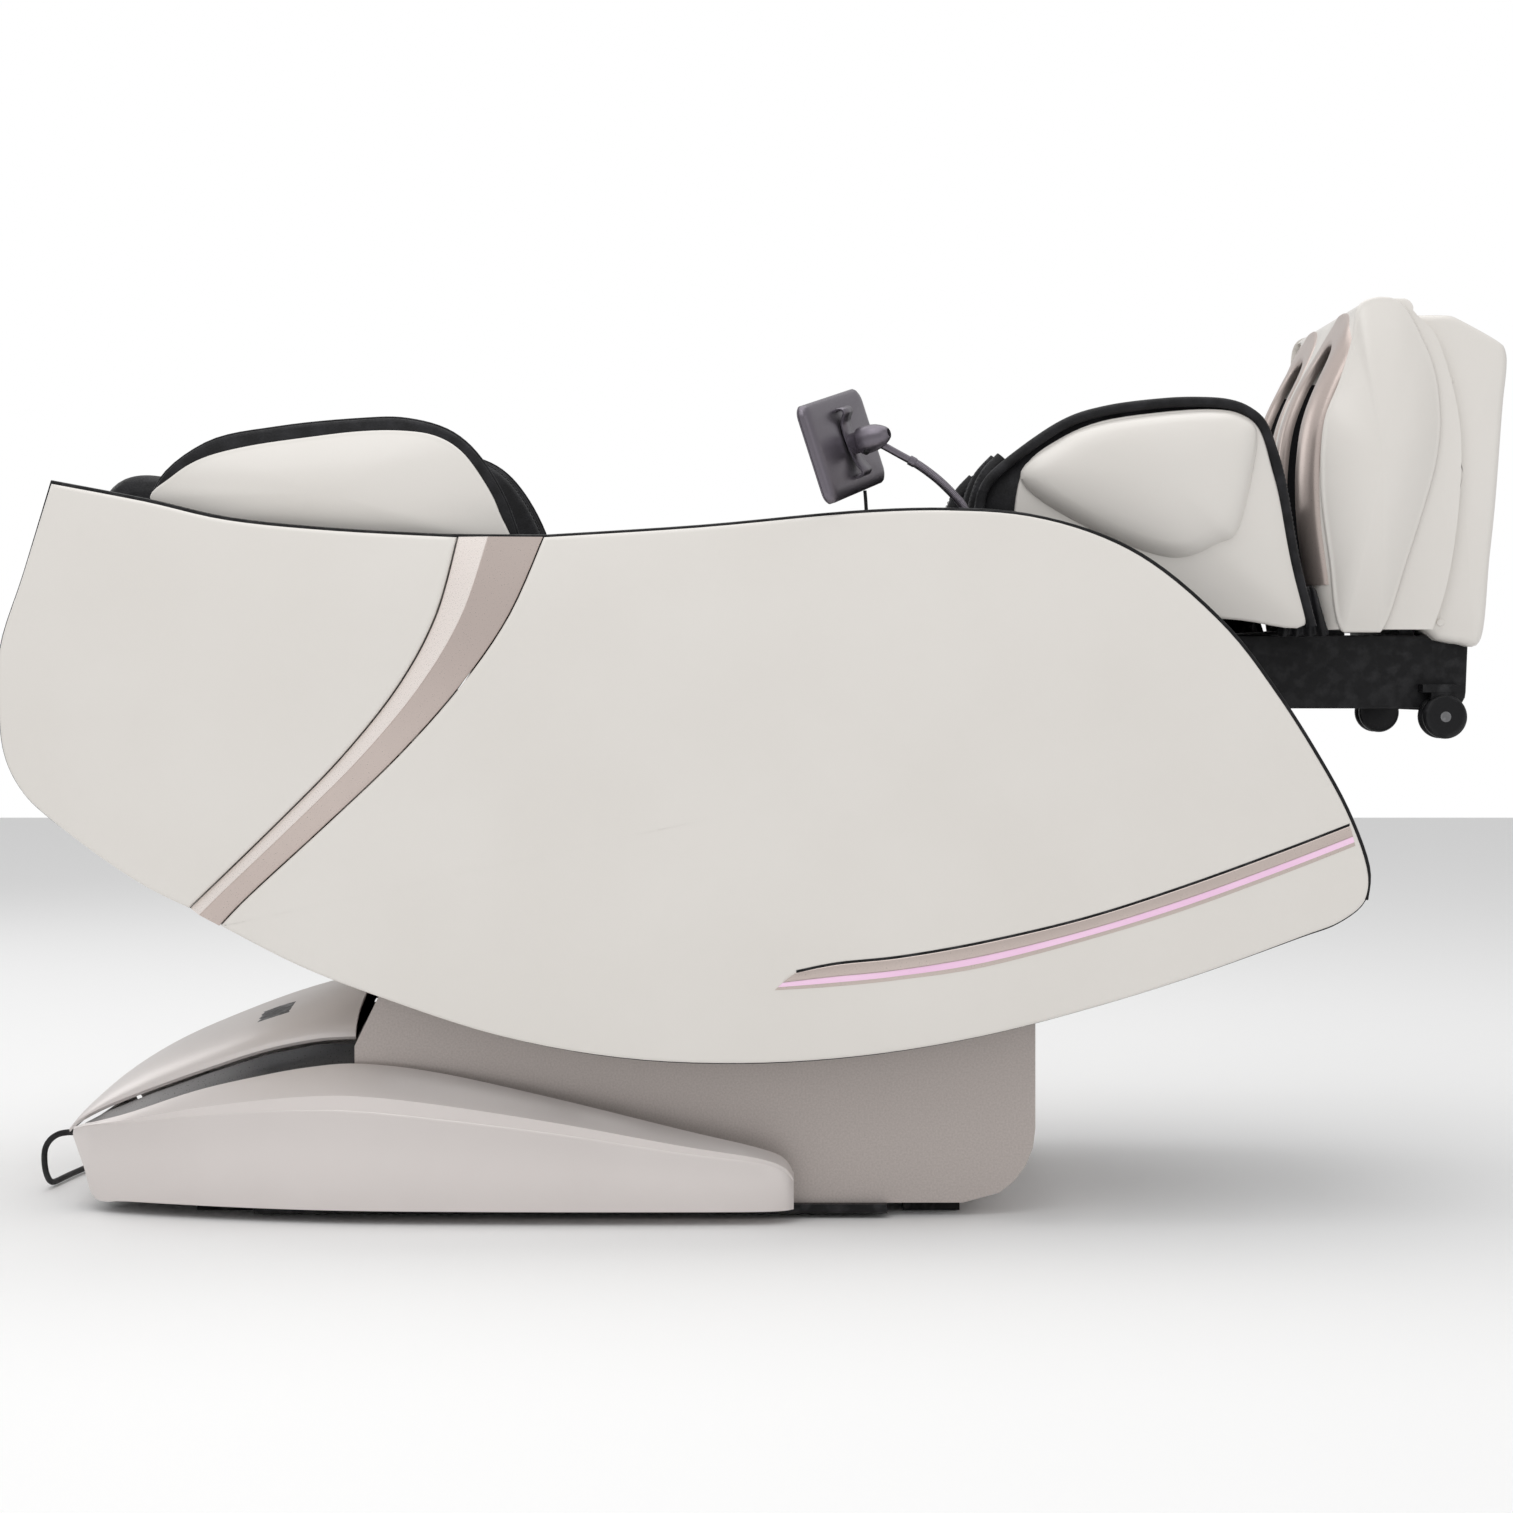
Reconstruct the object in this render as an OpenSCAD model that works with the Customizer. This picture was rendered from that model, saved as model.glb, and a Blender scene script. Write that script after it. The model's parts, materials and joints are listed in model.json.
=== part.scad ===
// Massage chair with a rigid seat-and-back shell, a leg rest and a foot massager.
// +X points from the head to the feet, +Y to the occupant's left, +Z up, floor at Z = 0.
// Outlines lie in the X-Z plane and run clockwise as seen from the right-hand side.

/* [Shell] */
// Width over the two side panels
body_w = 760; // [752:2:780]
// Distance from the centre plane to the back of each side panel
panel_rim = 335; // [335:1:340]
// Wall thickness of the moulded side panels
panel_wall = 4; // [3:0.5:6]
// Thickness of the steel side plates of the body frame
plate_t = 6; // [4:1:8]

/* [Seat] */
// Half width of the back cushion
back_half_w = 215; // [200:5:225]
// Thickness of the back and seat cushions
cushion_t = 45; // [35:5:50]
// Slope of the straight part of the back, in degrees
back_angle = 21.8; // [21:0.2:22.6]

/* [Base] */
// Half width of the tower casing
tower_half_w = 250; // [244:2:250]
// Half width of the floor frame
frame_half_w = 200; // [190:5:210]
// Radius of the rear transport wheels
wheel_r = 28; // [26:1:30]
// Radius of the tilt pivot pins
pivot_r = 15; // [12:1:18]

/* [Leg rest] */
// Radius of each calf channel
calf_r = 68; // [60:2:72]
// Distance from the centre plane to each leg's middle
leg_y = 95; // [90:1:98]
// Half width of each foot slot
slot_half_w = 58; // [50:2:60]
// Radius of the foot casters
caster_r = 28; // [26:1:29]

/* [Tablet] */
// Width of the tablet
tablet_w = 192; // [180:2:200]
// Height of the tablet
tablet_h = 124; // [116:2:130]
// Thickness of the tablet
tablet_t = 15; // [12:1:18]

/* [Mains lead] */
// Diameter of the mains lead
lead_d = 8; // [7:0.5:8]

/* [Hidden] */
$fn = 48;
hull_fn = 32;

// Clearances
fit_gap = 0.08;
seam = 1.5;

// Pivots, in X and Z
tilt_pivot = [-70, 398];
knee_pivot = [355, 721];
wheel_axis = [-826, 33];
caster_axis = [866, 624];
sole_axis = [834, 862];
rocker_at = [-867, 50, 58];
rocker_lean = -27;
knee_r = 12;
tilt_foot = [-330, 90];
tilt_head = [190, 420];
leg_foot = [0, 400];
leg_head = [420, 640];

// Whole side outline and its parts
strip_front = [[-266, 845], [-307, 750], [-364, 666], [-439, 581], [-526, 498], [-621, 411], [-657, 374]];
strip_rear = [[-371, 845], [-396, 750], [-440, 666], [-507, 581], [-588, 498], [-695, 395]];
panel_rest = [[-266, 845], [-77, 857], [106, 874], [227, 878], [324, 871], [414, 845], [487, 803],
    [565, 732], [621, 659], [668, 587], [709, 514], [735, 445], [733, 404], [701, 377], [653, 359],
    [531, 315], [410, 277], [264, 239], [118, 215], [-28, 206], [-174, 213], [-320, 240],
    [-466, 288], [-563, 326], [-657, 374]];
rear_rest = [[-695, 395], [-747, 420], [-808, 459], [-869, 505], [-900, 535], [-921, 574],
    [-929, 623], [-929, 708], [-900, 801], [-867, 911]];
rear_top = [[-867, 911], [-752, 889], [-650, 866], [-520, 853], [-371, 845]];
side_centre = [-96, 530];
side_reach = [900, 420];
side_rise = 8;

// Seat and back surface, from the head to the front edge of the seat
seat_line = [[-850, 818], [-640, 734], [-400, 638], [-200, 558], [-70, 514], [50, 522], [160, 590], [240, 652]];

// Shoulder wing, top edge then bottom edge
wing_outline = [[-756, 892], [-730, 922], [-692, 945], [-635, 960], [-560, 971], [-499, 978], [-448, 979],
    [-406, 973], [-373, 954], [-345, 917], [-326, 879], [-316, 830], [-420, 825], [-560, 832], [-700, 850]];
pad_outline = [[-752, 905], [-690, 962], [-600, 982], [-500, 992], [-440, 992], [-385, 975], [-345, 935],
    [-312, 870], [-300, 800], [-320, 700], [-430, 700], [-600, 760], [-740, 820]];

// Side fairing stations: X, outer Y, bottom Z, crease Z, top Z
fairing_stations = [[-878, 190, 90, 98, 101], [-860, 208, 54, 105, 108], [-842, 222, 17, 109, 113],
    [-795, 243, 17, 116, 127], [-713, 266, 17, 127, 155], [-641, 283, 17, 135, 173],
    [-568, 296, 17, 140, 187], [-500, 304, 17, 140, 192], [-400, 309, 17, 131, 181],
    [-251, 312, 17, 113, 150], [-103, 312, 17, 90, 115], [-10, 310, 17, 78, 94],
    [25, 303, 17, 66, 80], [38, 292, 17, 50, 60]];
// Centre cover stations: X, half width, edge Z, crown Z
hump_stations = [[-893, 150, 92, 98], [-874, 172, 108, 122], [-837, 188, 128, 154], [-780, 204, 152, 188],
    [-704, 216, 180, 221], [-628, 222, 205, 249], [-560, 226, 219, 268], [-513, 227, 222, 276]];

// Foot unit outlines
foot_front = [[708, 735], [699, 800], [691, 860], [688, 905], [689, 950], [696, 1000], [712, 1045],
    [738, 1097], [757, 1141]];
foot_rear = [[757, 1141], [790, 1158], [812, 1154], [830, 1134], [858, 1100], [884, 1000], [884, 900],
    [870, 800], [850, 735]];
foot_shell_back = [[836, 1136], [873, 1136], [890, 1130], [938, 1103], [948, 1090], [949, 1066],
    [944, 1019], [935, 900], [927, 823], [916, 722], [885, 717], [858, 722]];
foot_side = [[757, 1148], [746, 1099], [731, 1050], [714, 1008], [708, 970], [707, 930], [709, 890],
    [718, 822], [732, 734], [781, 728], [816, 822], [849, 929], [858, 982], [858, 1016], [853, 1056],
    [838, 1099], [805, 1152]];
calf_outline = [[318, 900], [332, 943], [371, 973], [425, 996], [506, 1008], [570, 1011], [605, 1003],
    [626, 982], [640, 935], [652, 890], [668, 815], [681, 740], [600, 746], [500, 756], [400, 772],
    [340, 805], [318, 850]];

// Mains lead: from the strain relief to the floor and into the coil
coil_centre = [-820, 304];
coil_mid_r = 44;
lead_route = [[-902, -90, 78], [-910, -90, 78], [-922, -89.5, 75.6], [-932.6, -88, 68.6], [-939.6, -86, 58.2],
    [-942, -84, 46], [-941.8, -81, 30.3], [-941, -72, 17], [-940, -58.7, 8.1], [-938, -43, 5], [-932, 0, 5],
    [-922, 60, 5], [-909, 130, 5], [-895, 195, 5], [-884, 245, 5], [-876, 280, 5], [-868, 304, 5]];
// Tablet cable: from the tablet down into the arm rest
cable_route = [[127, -264, 907], [128, -265, 895], [129, -268, 875], [130, -275, 850], [131, -282, 825],
    [132, -288, 799.5]];
neck_route = [[252, -302, 801], [252, -302, 850], [249, -302, 880], [236, -302, 898], [218, -302, 916],
    [203, -302, 928], [189, -302, 937.6], [170, -302, 948], [152, -302, 958], [145, -302, 961.5]];
neck_end = [154, -302, 957];
ball_centre = [130, -303, 968];
tablet_centre = [99, -289, 962];
tablet_turn = [12.5, -14, -26.5];

// ---------------------------------------------------------------- functions

// Point between b and c on a smooth curve that also passes near a and d
function smooth(a, b, c, d, t) =
    0.5 * (2 * b + (c - a) * t + (2 * a - 5 * b + 4 * c - d) * t * t + (3 * b - a - 3 * c + d) * t * t * t);

// Smooth open curve through points, n steps a span, without its last point
function curve(p, n = 2) = [
    for (i = [0 : len(p) - 2])
        for (k = [0 : n - 1])
            smooth(p[max(i - 1, 0)], p[i], p[i + 1], p[min(i + 2, len(p) - 1)], k / n)
];
function full_curve(p, n = 2) = concat(curve(p, n), [p[len(p) - 1]]);

// Smooth closed curve through points
function ring_curve(p, n = 2) = [
    for (i = [0 : len(p) - 1])
        for (k = [0 : n - 1])
            smooth(p[(i + len(p) - 1) % len(p)], p[i], p[(i + 1) % len(p)], p[(i + 2) % len(p)], k / n)
];
function reversed(p) = [for (i = [len(p) - 1 : -1 : 0]) p[i]];
function scaled(p, c, s) = [for (q = p) c + s * (q - c)];
function unit(v) = v / norm(v);

// Open path moved sideways by d, to the right of its direction
function beside(p, d) = [
    for (i = [0 : len(p) - 1])
        let (t = unit(p[min(i + 1, len(p) - 1)] - p[max(i - 1, 0)]))
            p[i] + d * [t[1], -t[0]]
];
function band(p, d) = concat(p, reversed(beside(p, d)));

// Point a fraction t of the way along a list of points
function along(p, t) =
    let (u = t * (len(p) - 1))
    let (i = min(floor(u), len(p) - 2))
        p[i] + (u - i) * (p[i + 1] - p[i]);

// Distance of the side skin from the centre plane above a point of the side
function skin(p) =
    panel_rim + side_rise + (body_w / 2 - panel_rim - side_rise)
        * (1 - pow(abs(p[0] - side_centre[0]) / side_reach[0], 3))
        * (1 - pow(abs(p[1] - side_centre[1]) / side_reach[1], 2.5));

// ---------------------------------------------------------------- shared shapes

// Solid through rings of points: rings run right-handed about the way they advance
module loft(rings) {
    n = len(rings[0]);
    m = len(rings);
    points = [for (ring = rings) for (p = ring) p];
    sides = [
        for (i = [0 : m - 2])
            for (j = [0 : n - 1])
                for (half = [0, 1])
                    half == 0
                        ? [i * n + j, (i + 1) * n + j, (i + 1) * n + (j + 1) % n]
                        : [i * n + j, (i + 1) * n + (j + 1) % n, i * n + (j + 1) % n]
    ];
    ends = [[for (j = [0 : n - 1]) j], [for (j = [n - 1 : -1 : 0]) (m - 1) * n + j]];
    polyhedron(points, concat(sides, ends), convexity = 6);
}

// Round tube along a route
module tube(route, r, sides = 8) {
    rings = [
        for (i = [0 : len(route) - 1])
            let (t = unit(route[min(i + 1, len(route) - 1)] - route[max(i - 1, 0)]))
            let (u = unit(cross(t, [0.31, 0.12, 0.94])))
            let (v = cross(t, u))
                [for (k = [0 : sides - 1]) route[i] + r * (cos(360 * k / sides) * u + sin(360 * k / sides) * v)]
    ];
    loft(rings);
}

// Flat plate of an X-Z outline between two Y values
module plate(outline, y0, y1) {
    translate([0, y1, 0])
        rotate([90, 0, 0])
            linear_extrude(y1 - y0)
                polygon(outline);
}

// Round bar along Y
module bar(at, r, y0, y1) {
    translate([at[0], y1, at[1]])
        rotate([90, 0, 0])
            cylinder(h = y1 - y0, r = r);
}

module right_side() {
    mirror([0, 1, 0]) children();
}

module both_sides() {
    children();
    right_side() children();
}

// Moulded shell of the body side, on the left
module side_shell(outline, c) {
    function ring(s, y) = [for (q = scaled(outline, c, s)) [q[0], y, q[1]]];
    function skin_ring(s, drop) = [for (q = scaled(outline, c, s)) [q[0], skin(q) - drop, q[1]]];
    loft([
        skin_ring(0.1, panel_wall), skin_ring(0.5, panel_wall), skin_ring(0.8, panel_wall),
        skin_ring(0.94, panel_wall + 1), ring(0.94, panel_rim), ring(1, panel_rim),
        skin_ring(1, 3), skin_ring(0.992, 0.6), skin_ring(0.97, 0), skin_ring(0.85, 0), skin_ring(0.65, 0),
        skin_ring(0.4, 0), skin_ring(0.1, 0)
    ]);
}

// Domed cover standing on the plane Y = y0, on the left
module dome(outline, c, y0, edge, rise, wall) {
    function ring(s, y) = [for (q = scaled(outline, c, s)) [q[0], y, q[1]]];
    loft([
        ring(0.1, y0 + edge + rise - wall), ring(0.6, y0 + edge + 0.78 * rise - wall),
        ring(0.93, y0), ring(1, y0), ring(1, y0 + edge), ring(0.97, y0 + edge + 0.2 * rise),
        ring(0.85, y0 + edge + 0.5 * rise), ring(0.6, y0 + edge + 0.82 * rise), ring(0.1, y0 + edge + rise)
    ]);
}

// Soft extruded pad following an open path, its top on the path
module path_pad(path, thick, half_w) {
    plate(band(path, thick), -half_w, half_w);
}

function trim_to(p, x0, x1) = [for (q = p) if (q[0] >= x0 && q[0] <= x1) q];

main_outline = concat(curve(panel_rest), curve(reversed(strip_front)));
rear_outline = concat(curve(rear_top), curve(strip_rear), curve(rear_rest));
whole_outline = concat(curve(rear_top), [[-371, 845]], curve(panel_rest), curve(rear_rest));
seat_curve = full_curve(seat_line, 3);

// ---------------------------------------------------------------- base

module base_frame() {
    upright = [[-180, 42], [-100, 420], [-85, 432], [-55, 432], [-40, 420], [40, 42]];
    color("dimgray") {
        both_sides() {
            translate([-780, frame_half_w - 30, 17]) cube([1020, 40, 25]);
            difference() {
                plate(upright, 234, 244);
                bar(tilt_pivot, pivot_r, 226, 250);
            }
            translate([-180, frame_half_w + 10, 17]) cube([220, 34, 25]);
        }
        for (x = [-760, -380, 200])
            translate([x, 30 - frame_half_w, 17]) cube([40, 2 * frame_half_w - 60, 25]);
        both_sides()
            plate([[-350, 42], [-350, 105], [-315, 105], [-315, 42]], 30, 38);
        bar(tilt_foot, 8, -30, 30);
        difference() {
            both_sides() translate([-842, 125, 17]) cube([62, 15, 30]);
            bar(wheel_axis, 6, -200, 200);
        }
        both_sides() translate([-780, 125, 17]) cube([20.1, 45, 25]);
    }
}

module base_skirt() {
    color("black")
        difference() {
            translate([-635, -262, 6]) cube([790, 524, 11]);
            translate([-615, -242, 5]) cube([750, 484, 8]);
        }
}

module base_tower() {
    outer = concat([[-511, 17], [-511, 213], [-479, 279], [-300, 296], [-150, 300], [0, 296], [200, 268],
        [341, 246], [341, 120]], [for (a = [0 : 15 : 60]) [251 + 90 * cos(a), 110 - 93 * sin(a)]], [[250, 17]]);
    inner = [[-520, 0], [-520, 44], [-507, 44], [-507, 214], [-475, 282], [-475, 400], [337, 400], [337, 120], [325, 75],
        [294, 36], [247, 25], [247, 0]];
    color("silver")
        difference() {
            plate(outer, -tower_half_w, tower_half_w);
            plate(inner, 4 - tower_half_w, tower_half_w - 4);
        }
}

module base_hump_cover() {
    arc_steps = 12;
    wall = 4;
    function section(s, drop) = [
        for (k = [0 : arc_steps])
            let (a = 180 * k / arc_steps)
                [s[0], (s[1] - drop) * cos(a), s[2] - drop + (s[3] - s[2]) * sin(a)]
    ];
    color("lightgray")
        loft([for (s = full_curve(hump_stations)) concat(section(s, 0), reversed(section(s, wall)))]);
}

module base_tail_cover() {
    color("lightgray")
        difference() {
            plate([[-886, 88], [-878, 88], [-843, 17], [-850, 17]], -158, 158);
            translate(rocker_at)
                rotate([0, rocker_lean, 0])
                    cube([30, 27, 19], center = true);
        }
}

module fairing() {
    wall = 8;
    function inset(s) = 6 + 0.7 * (s[4] - s[3]);
    function section(s) = [
        [s[0], s[1], s[2]], [s[0], s[1] - 1, s[3]], [s[0], s[1] - inset(s), s[4]],
        [s[0], s[1] - inset(s) - wall, s[4] - 3], [s[0], s[1] - wall - 2, s[3] - 5], [s[0], s[1] - wall, s[2]]
    ];
    color("silver")
        loft([for (s = full_curve(fairing_stations)) section(s)]);
}

// Dark channel between the centre cover and a fairing
module groove() {
    color("black")
        loft([
            for (x = [-860 : 35 : -545])
                let (h = lookup_row(x, hump_stations), f = lookup_row(x, fairing_stations))
                let (top = [h[1] - 10, h[2] - 10], low = [f[1] - 22 - 0.75 * (f[4] - f[3]), f[4] - 14])
                    [[x, top[0], top[1]], [x, top[0], top[1] - 4], [x, low[0], low[1] - 4], [x, low[0], low[1]]]
        ]);
}

// Row of a station list at a given X, between its rows
function lookup_row(x, list) = [for (k = [0 : len(list[0]) - 1]) lookup(x, [for (s = list) [s[0], s[k]]])];

module rubber_feet() {
    color("black")
        both_sides() {
            translate([-716, 170, 0]) cube([70, 40, 17]);
            translate([178, 170, 0]) cube([71, 40, 17]);
        }
}

module rear_axle() {
    color("silver") bar(wheel_axis, 6 - fit_gap, -196, 196);
}

module rear_wheel() {
    color("black")
        difference() {
            union() {
                bar(wheel_axis, wheel_r, 165, 189);
                bar(wheel_axis, 12, 162, 191);
            }
            bar(wheel_axis, 6, 160, 195);
        }
}

module power_rocker() {
    color("black")
        translate(rocker_at)
            rotate([0, rocker_lean, 0]) {
                translate([-5, -12, -8]) cube([8, 24, 16]);
                rotate([90, 0, 0]) cylinder(h = 24.4, r = 3, center = true);
            }
}

module mains_strain_relief() {
    color("black")
        translate([-878, -90, 78])
            rotate([0, -90, 0]) {
                cylinder(h = 8, r = 9);
                cylinder(h = 24, r1 = 7.5, r2 = lead_d / 2 + 1.2);
            }
}

module mains_lead() {
    color("black") tube(full_curve(lead_route, 3), lead_d / 2);
}

module mains_lead_coil() {
    color("black")
        translate([coil_centre[0], coil_centre[1], 0])
            rotate_extrude()
                translate([coil_mid_r - 8, 1]) square([16, 25]);
}

module mains_plug() {
    color("black")
        translate([-797, 339, 1]) {
            cube([38, 26, 24]);
            for (y = [5, 17])
                translate([38, y, 10]) cube([18, 4, 4]);
        }
}

module electronics_box() {
    color("gray") {
        translate([60, -150, 43]) cube([200, 120, 110]);
        translate([60, 40, 43]) cube([150, 110, 90]);
        translate([-300, 80, 43]) cube([100, 90, 70]);
    }
}

module tilt_pivot_pins() {
    color("silver")
        both_sides() {
            bar(tilt_pivot, pivot_r, 232, 332);
            bar(tilt_pivot, pivot_r + 6, 250, 318);
        }
}

// Linear actuator between two points: the tube sits on a, the rod reaches b
module actuator_tube(a, b, length) {
    angle = atan2(b[1] - a[1], b[0] - a[0]);
    translate([a[0], 0, a[1]])
        rotate([0, -angle, 0])
            difference() {
                union() {
                    bar([0, 0], 18, -14, 14);
                    translate([14, 0, 0]) rotate([0, 90, 0]) cylinder(h = length - 14, r = 20);
                    translate([14, -20, -55]) cube([70, 40, 45]);
                }
                bar([0, 0], 8.1, -20, 20);
                translate([60, 0, 0]) rotate([0, 90, 0]) cylinder(h = length, r = 11.5);
            }
}

module actuator_rod(a, b, start) {
    reach = norm(b - a);
    angle = atan2(b[1] - a[1], b[0] - a[0]);
    translate([a[0], 0, a[1]])
        rotate([0, -angle, 0])
            difference() {
                union() {
                    translate([start, 0, 0]) rotate([0, 90, 0]) cylinder(h = reach - start - 14, r = 11);
                    bar([reach, 0], 19, -12, 12);
                }
                bar([reach, 0], 12, -15, 15);
            }
}

module tilt_actuator_tube() {
    color("dimgray") actuator_tube(tilt_foot, tilt_head, 400);
}

module tilt_actuator_rod() {
    color("silver") actuator_rod(tilt_foot, tilt_head, 180);
}

// ---------------------------------------------------------------- seat and back shell

// Steel side plates joined by cross tubes
module body_frame() {
    side = [[-850, 690], [-858, 620], [-800, 535], [-640, 428], [-440, 330], [-200, 268], [0, 250],
        [200, 262], [400, 315], [600, 385], [640, 440], [600, 560], [520, 690], [400, 800], [300, 820],
        [100, 815], [-100, 800], [-350, 790], [-600, 815], [-800, 830]];
    windows = [
        [[-800, 640], [-740, 540], [-560, 440], [-400, 380], [-300, 520], [-330, 735], [-600, 765], [-780, 790]],
        [[-200, 330], [-130, 310], [-130, 470], [20, 470], [20, 310], [150, 320], [120, 700], [-250, 720], [-240, 500]],
        [[230, 330], [390, 370], [570, 430], [540, 540], [440, 640], [300, 650], [240, 600]]
    ];
    color("dimgray") {
        both_sides()
            difference() {
                plate(side, 320, 320 + plate_t);
                for (w = windows)
                    plate(w, 310, 330 + plate_t);
                bar(tilt_pivot, pivot_r + fit_gap, 310, 340);
            }
        for (at = [[-800, 600], [-520, 420], [-215, 350], [190, 459], [600, 440]])
            bar(at, 14, -320, 320);
        bar(knee_pivot, knee_r, -320, 320);
        both_sides() {
            plate([[175, 455], [205, 455], [205, 405], [175, 405]], 30, 36);
            plate([[-15, 440], [15, 440], [15, 385], [-15, 385]], 30, 36);
        }
        bar(tilt_head, 7, -30, 30);
        bar(leg_foot, 8, -30, 30);
        translate([-15, -320, 440]) cube([30, 640, 12]);
    }
}

module side_panel() {
    color("white") side_shell(main_outline, [50, 530]);
}

module rear_panel() {
    color("white") side_shell(rear_outline, [-680, 680]);
}

module accent_strip() {
    steps = 14;
    front = full_curve(strip_front);
    rear = full_curve(strip_rear);
    function section(t) =
        let (f = along(front, t) + [-seam, 0], r = along(rear, t) + [seam, 0])
        let (m = r + 0.36 * (f - r))
            [[r[0], panel_rim, r[1]], [r[0], skin(r) - 2, r[1]], [m[0], skin(m) + 1, m[1]],
                [f[0], skin(f) - 2, f[1]], [f[0], panel_rim, f[1]]];
    color("tan") loft([for (k = [0 : steps]) reversed(section(k / steps))]);
}

module back_shell() {
    rear = full_curve([[-861, 900], [-893, 801], [-922, 708], [-922, 623], [-914, 576], [-893, 540],
        [-863, 511], [-803, 466], [-742, 427], [-640, 372], [-560, 338], [-482, 312]]);
    color("white") plate(band(rear, -5), -318, 318);
}

module edge_trim() {
    outline = scaled(whole_outline, side_centre, 1.004);
    color("black")
        difference() {
            plate(outline, 320 + plate_t, panel_rim);
            plate(scaled(whole_outline, side_centre, 0.86), 310, 340);
        }
}

// Band of trim laid along the side skin
module skin_band(low, high, lift, sink) {
    steps = 16;
    a = full_curve(low, 3);
    b = full_curve(high, 3);
    function section(t) =
        let (f = along(a, t), r = along(b, t))
            [[r[0], skin(r) - sink, r[1]], [r[0], skin(r) + lift, r[1]],
                [f[0], skin(f) + lift, f[1]], [f[0], skin(f) - sink, f[1]]];
    loft([for (k = [0 : steps]) section(k / steps)]);
}

light_low = [[14, 297], [80, 301], [160, 309], [262, 324], [383, 355], [503, 391], [624, 434], [719, 470]];
light_mid = [[24, 306], [84, 313], [163, 321], [265, 338], [387, 368], [507, 405], [628, 448], [716, 481]];
light_high = [[40, 318], [90, 328], [166, 336], [268, 354], [391, 383], [511, 421], [632, 464], [712, 494]];

module light_trims() {
    color("tan")
        both_sides()
            skin_band([for (p = light_mid) p + [0, 0.5]], light_high, 1.5, 3);
}

module light_lenses() {
    color("pink")
        both_sides()
            skin_band(light_low, light_mid, 0.8, 3);
}

module shoulder_wings() {
    color("white")
        both_sides()
            dome(ring_curve(wing_outline), [-530, 900], 290, 8, 18, 5);
}

module shoulder_pads() {
    color("black")
        both_sides()
            plate(ring_curve(pad_outline), 236, 289);
}

module back_cushion() {
    color("black") path_pad(trim_to(seat_curve, -700, -75), cushion_t, back_half_w);
}

module seat_cushion() {
    color("black") path_pad(trim_to(seat_curve, -69, 245), cushion_t, back_half_w + 15);
}

module head_pillow() {
    outline = [[-846, 830], [-856, 870], [-849, 908], [-830, 930], [-800, 938], [-760, 930], [-722, 900],
        [-706, 850], [-712, 778], [-780, 796]];
    color("black") plate(ring_curve(outline), -190, 190);
}

module arm_cushions() {
    outline = [[-290, 600], [-290, 760], [-150, 775], [60, 795], [200, 802], [264, 799], [270, 740],
        [248, 680], [160, 612], [50, 548], [-70, 540], [-180, 570]];
    color("black")
        both_sides()
            plate(outline, 240, 310);
}

module track_rails() {
    path = beside(trim_to(seat_curve, -820, 200), 85);
    color("gray")
        both_sides()
            plate(band(path, 14), 152, 162);
}

// ---------------------------------------------------------------- massage carriage

carriage_x = -560;
carriage_at = [carriage_x, 0, 558 + (-200 - carriage_x) * tan(back_angle)];
roller_axis = [0, -92];

module on_back() {
    translate(carriage_at) rotate([0, back_angle, 0]) children();
}

module massage_carriage() {
    color("gray")
        on_back() {
            difference() {
                both_sides() translate([-60, 128, -150]) cube([120, 10, 95]);
                bar(roller_axis, 8 + fit_gap, -150, 150);
            }
            translate([-60, -128, -150]) cube([120, 256, 8]);
            translate([-45, -60, -205]) cube([90, 120, 55]);
            both_sides()
                for (x = [-45, 45])
                    bar([x, -70], 5, 138, 148);
        }
}

module kneading_rollers() {
    color("darkgray")
        on_back() {
            bar(roller_axis, 8, -142, 142);
            both_sides()
                for (y = [30, 90])
                    difference() {
                        translate([roller_axis[0], y, roller_axis[1]])
                            rotate([90, 0, 0])
                                rotate_extrude() {
                                    translate([28, 0]) circle(10);
                                    translate([0, -10]) square([28, 20]);
                                }
                        bar(roller_axis, 7.99, y - 20, y + 20);
                    }
        }
}

// ---------------------------------------------------------------- tablet

module gooseneck() {
    color("dimgray") {
        tube(full_curve(neck_route, 2), 5.5, 10);
        collar_run = ball_centre - neck_end;
        translate(neck_end)
            rotate([0, acos(collar_run[2] / norm(collar_run)), atan2(collar_run[1], collar_run[0])]) {
                cylinder(h = norm(collar_run), r = 7);
                translate([0, 0, norm(collar_run)]) sphere(r = 11);
            }
    }
}

module tablet_cable() {
    color("black") tube(full_curve(cable_route, 2), 2.25);
}

module at_tablet() {
    translate(tablet_centre) rotate(tablet_turn) children();
}

module tablet_bracket() {
    color("dimgray")
        difference() {
            union() {
                at_tablet() {
                    translate([tablet_t / 2, -12, -42]) cube([3, 30, 84]);
                    translate([tablet_t / 2, -12, 36]) cube([9, 30, 6]);
                    translate([tablet_t / 2, -12, -42]) cube([9, 30, 6]);
                }
                translate(ball_centre)
                    rotate(tablet_turn) {
                        translate([-25, 0, 0]) rotate([0, 90, 0]) cylinder(h = 35, r1 = 13, r2 = 17);
                        translate([10, 0, 0]) rotate([0, 90, 0]) cylinder(h = 18, r1 = 17, r2 = 6);
                    }
            }
            translate(ball_centre) sphere(r = 11.3);
            hull() {
                translate(ball_centre) sphere(r = 10, $fn = hull_fn);
                translate(ball_centre + [35, 3, -18]) sphere(r = 18, $fn = hull_fn);
            }
            at_tablet()
                translate([-tablet_t / 2, -tablet_w / 2, -tablet_h / 2]) cube([tablet_t, tablet_w, tablet_h]);
        }
}

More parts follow.
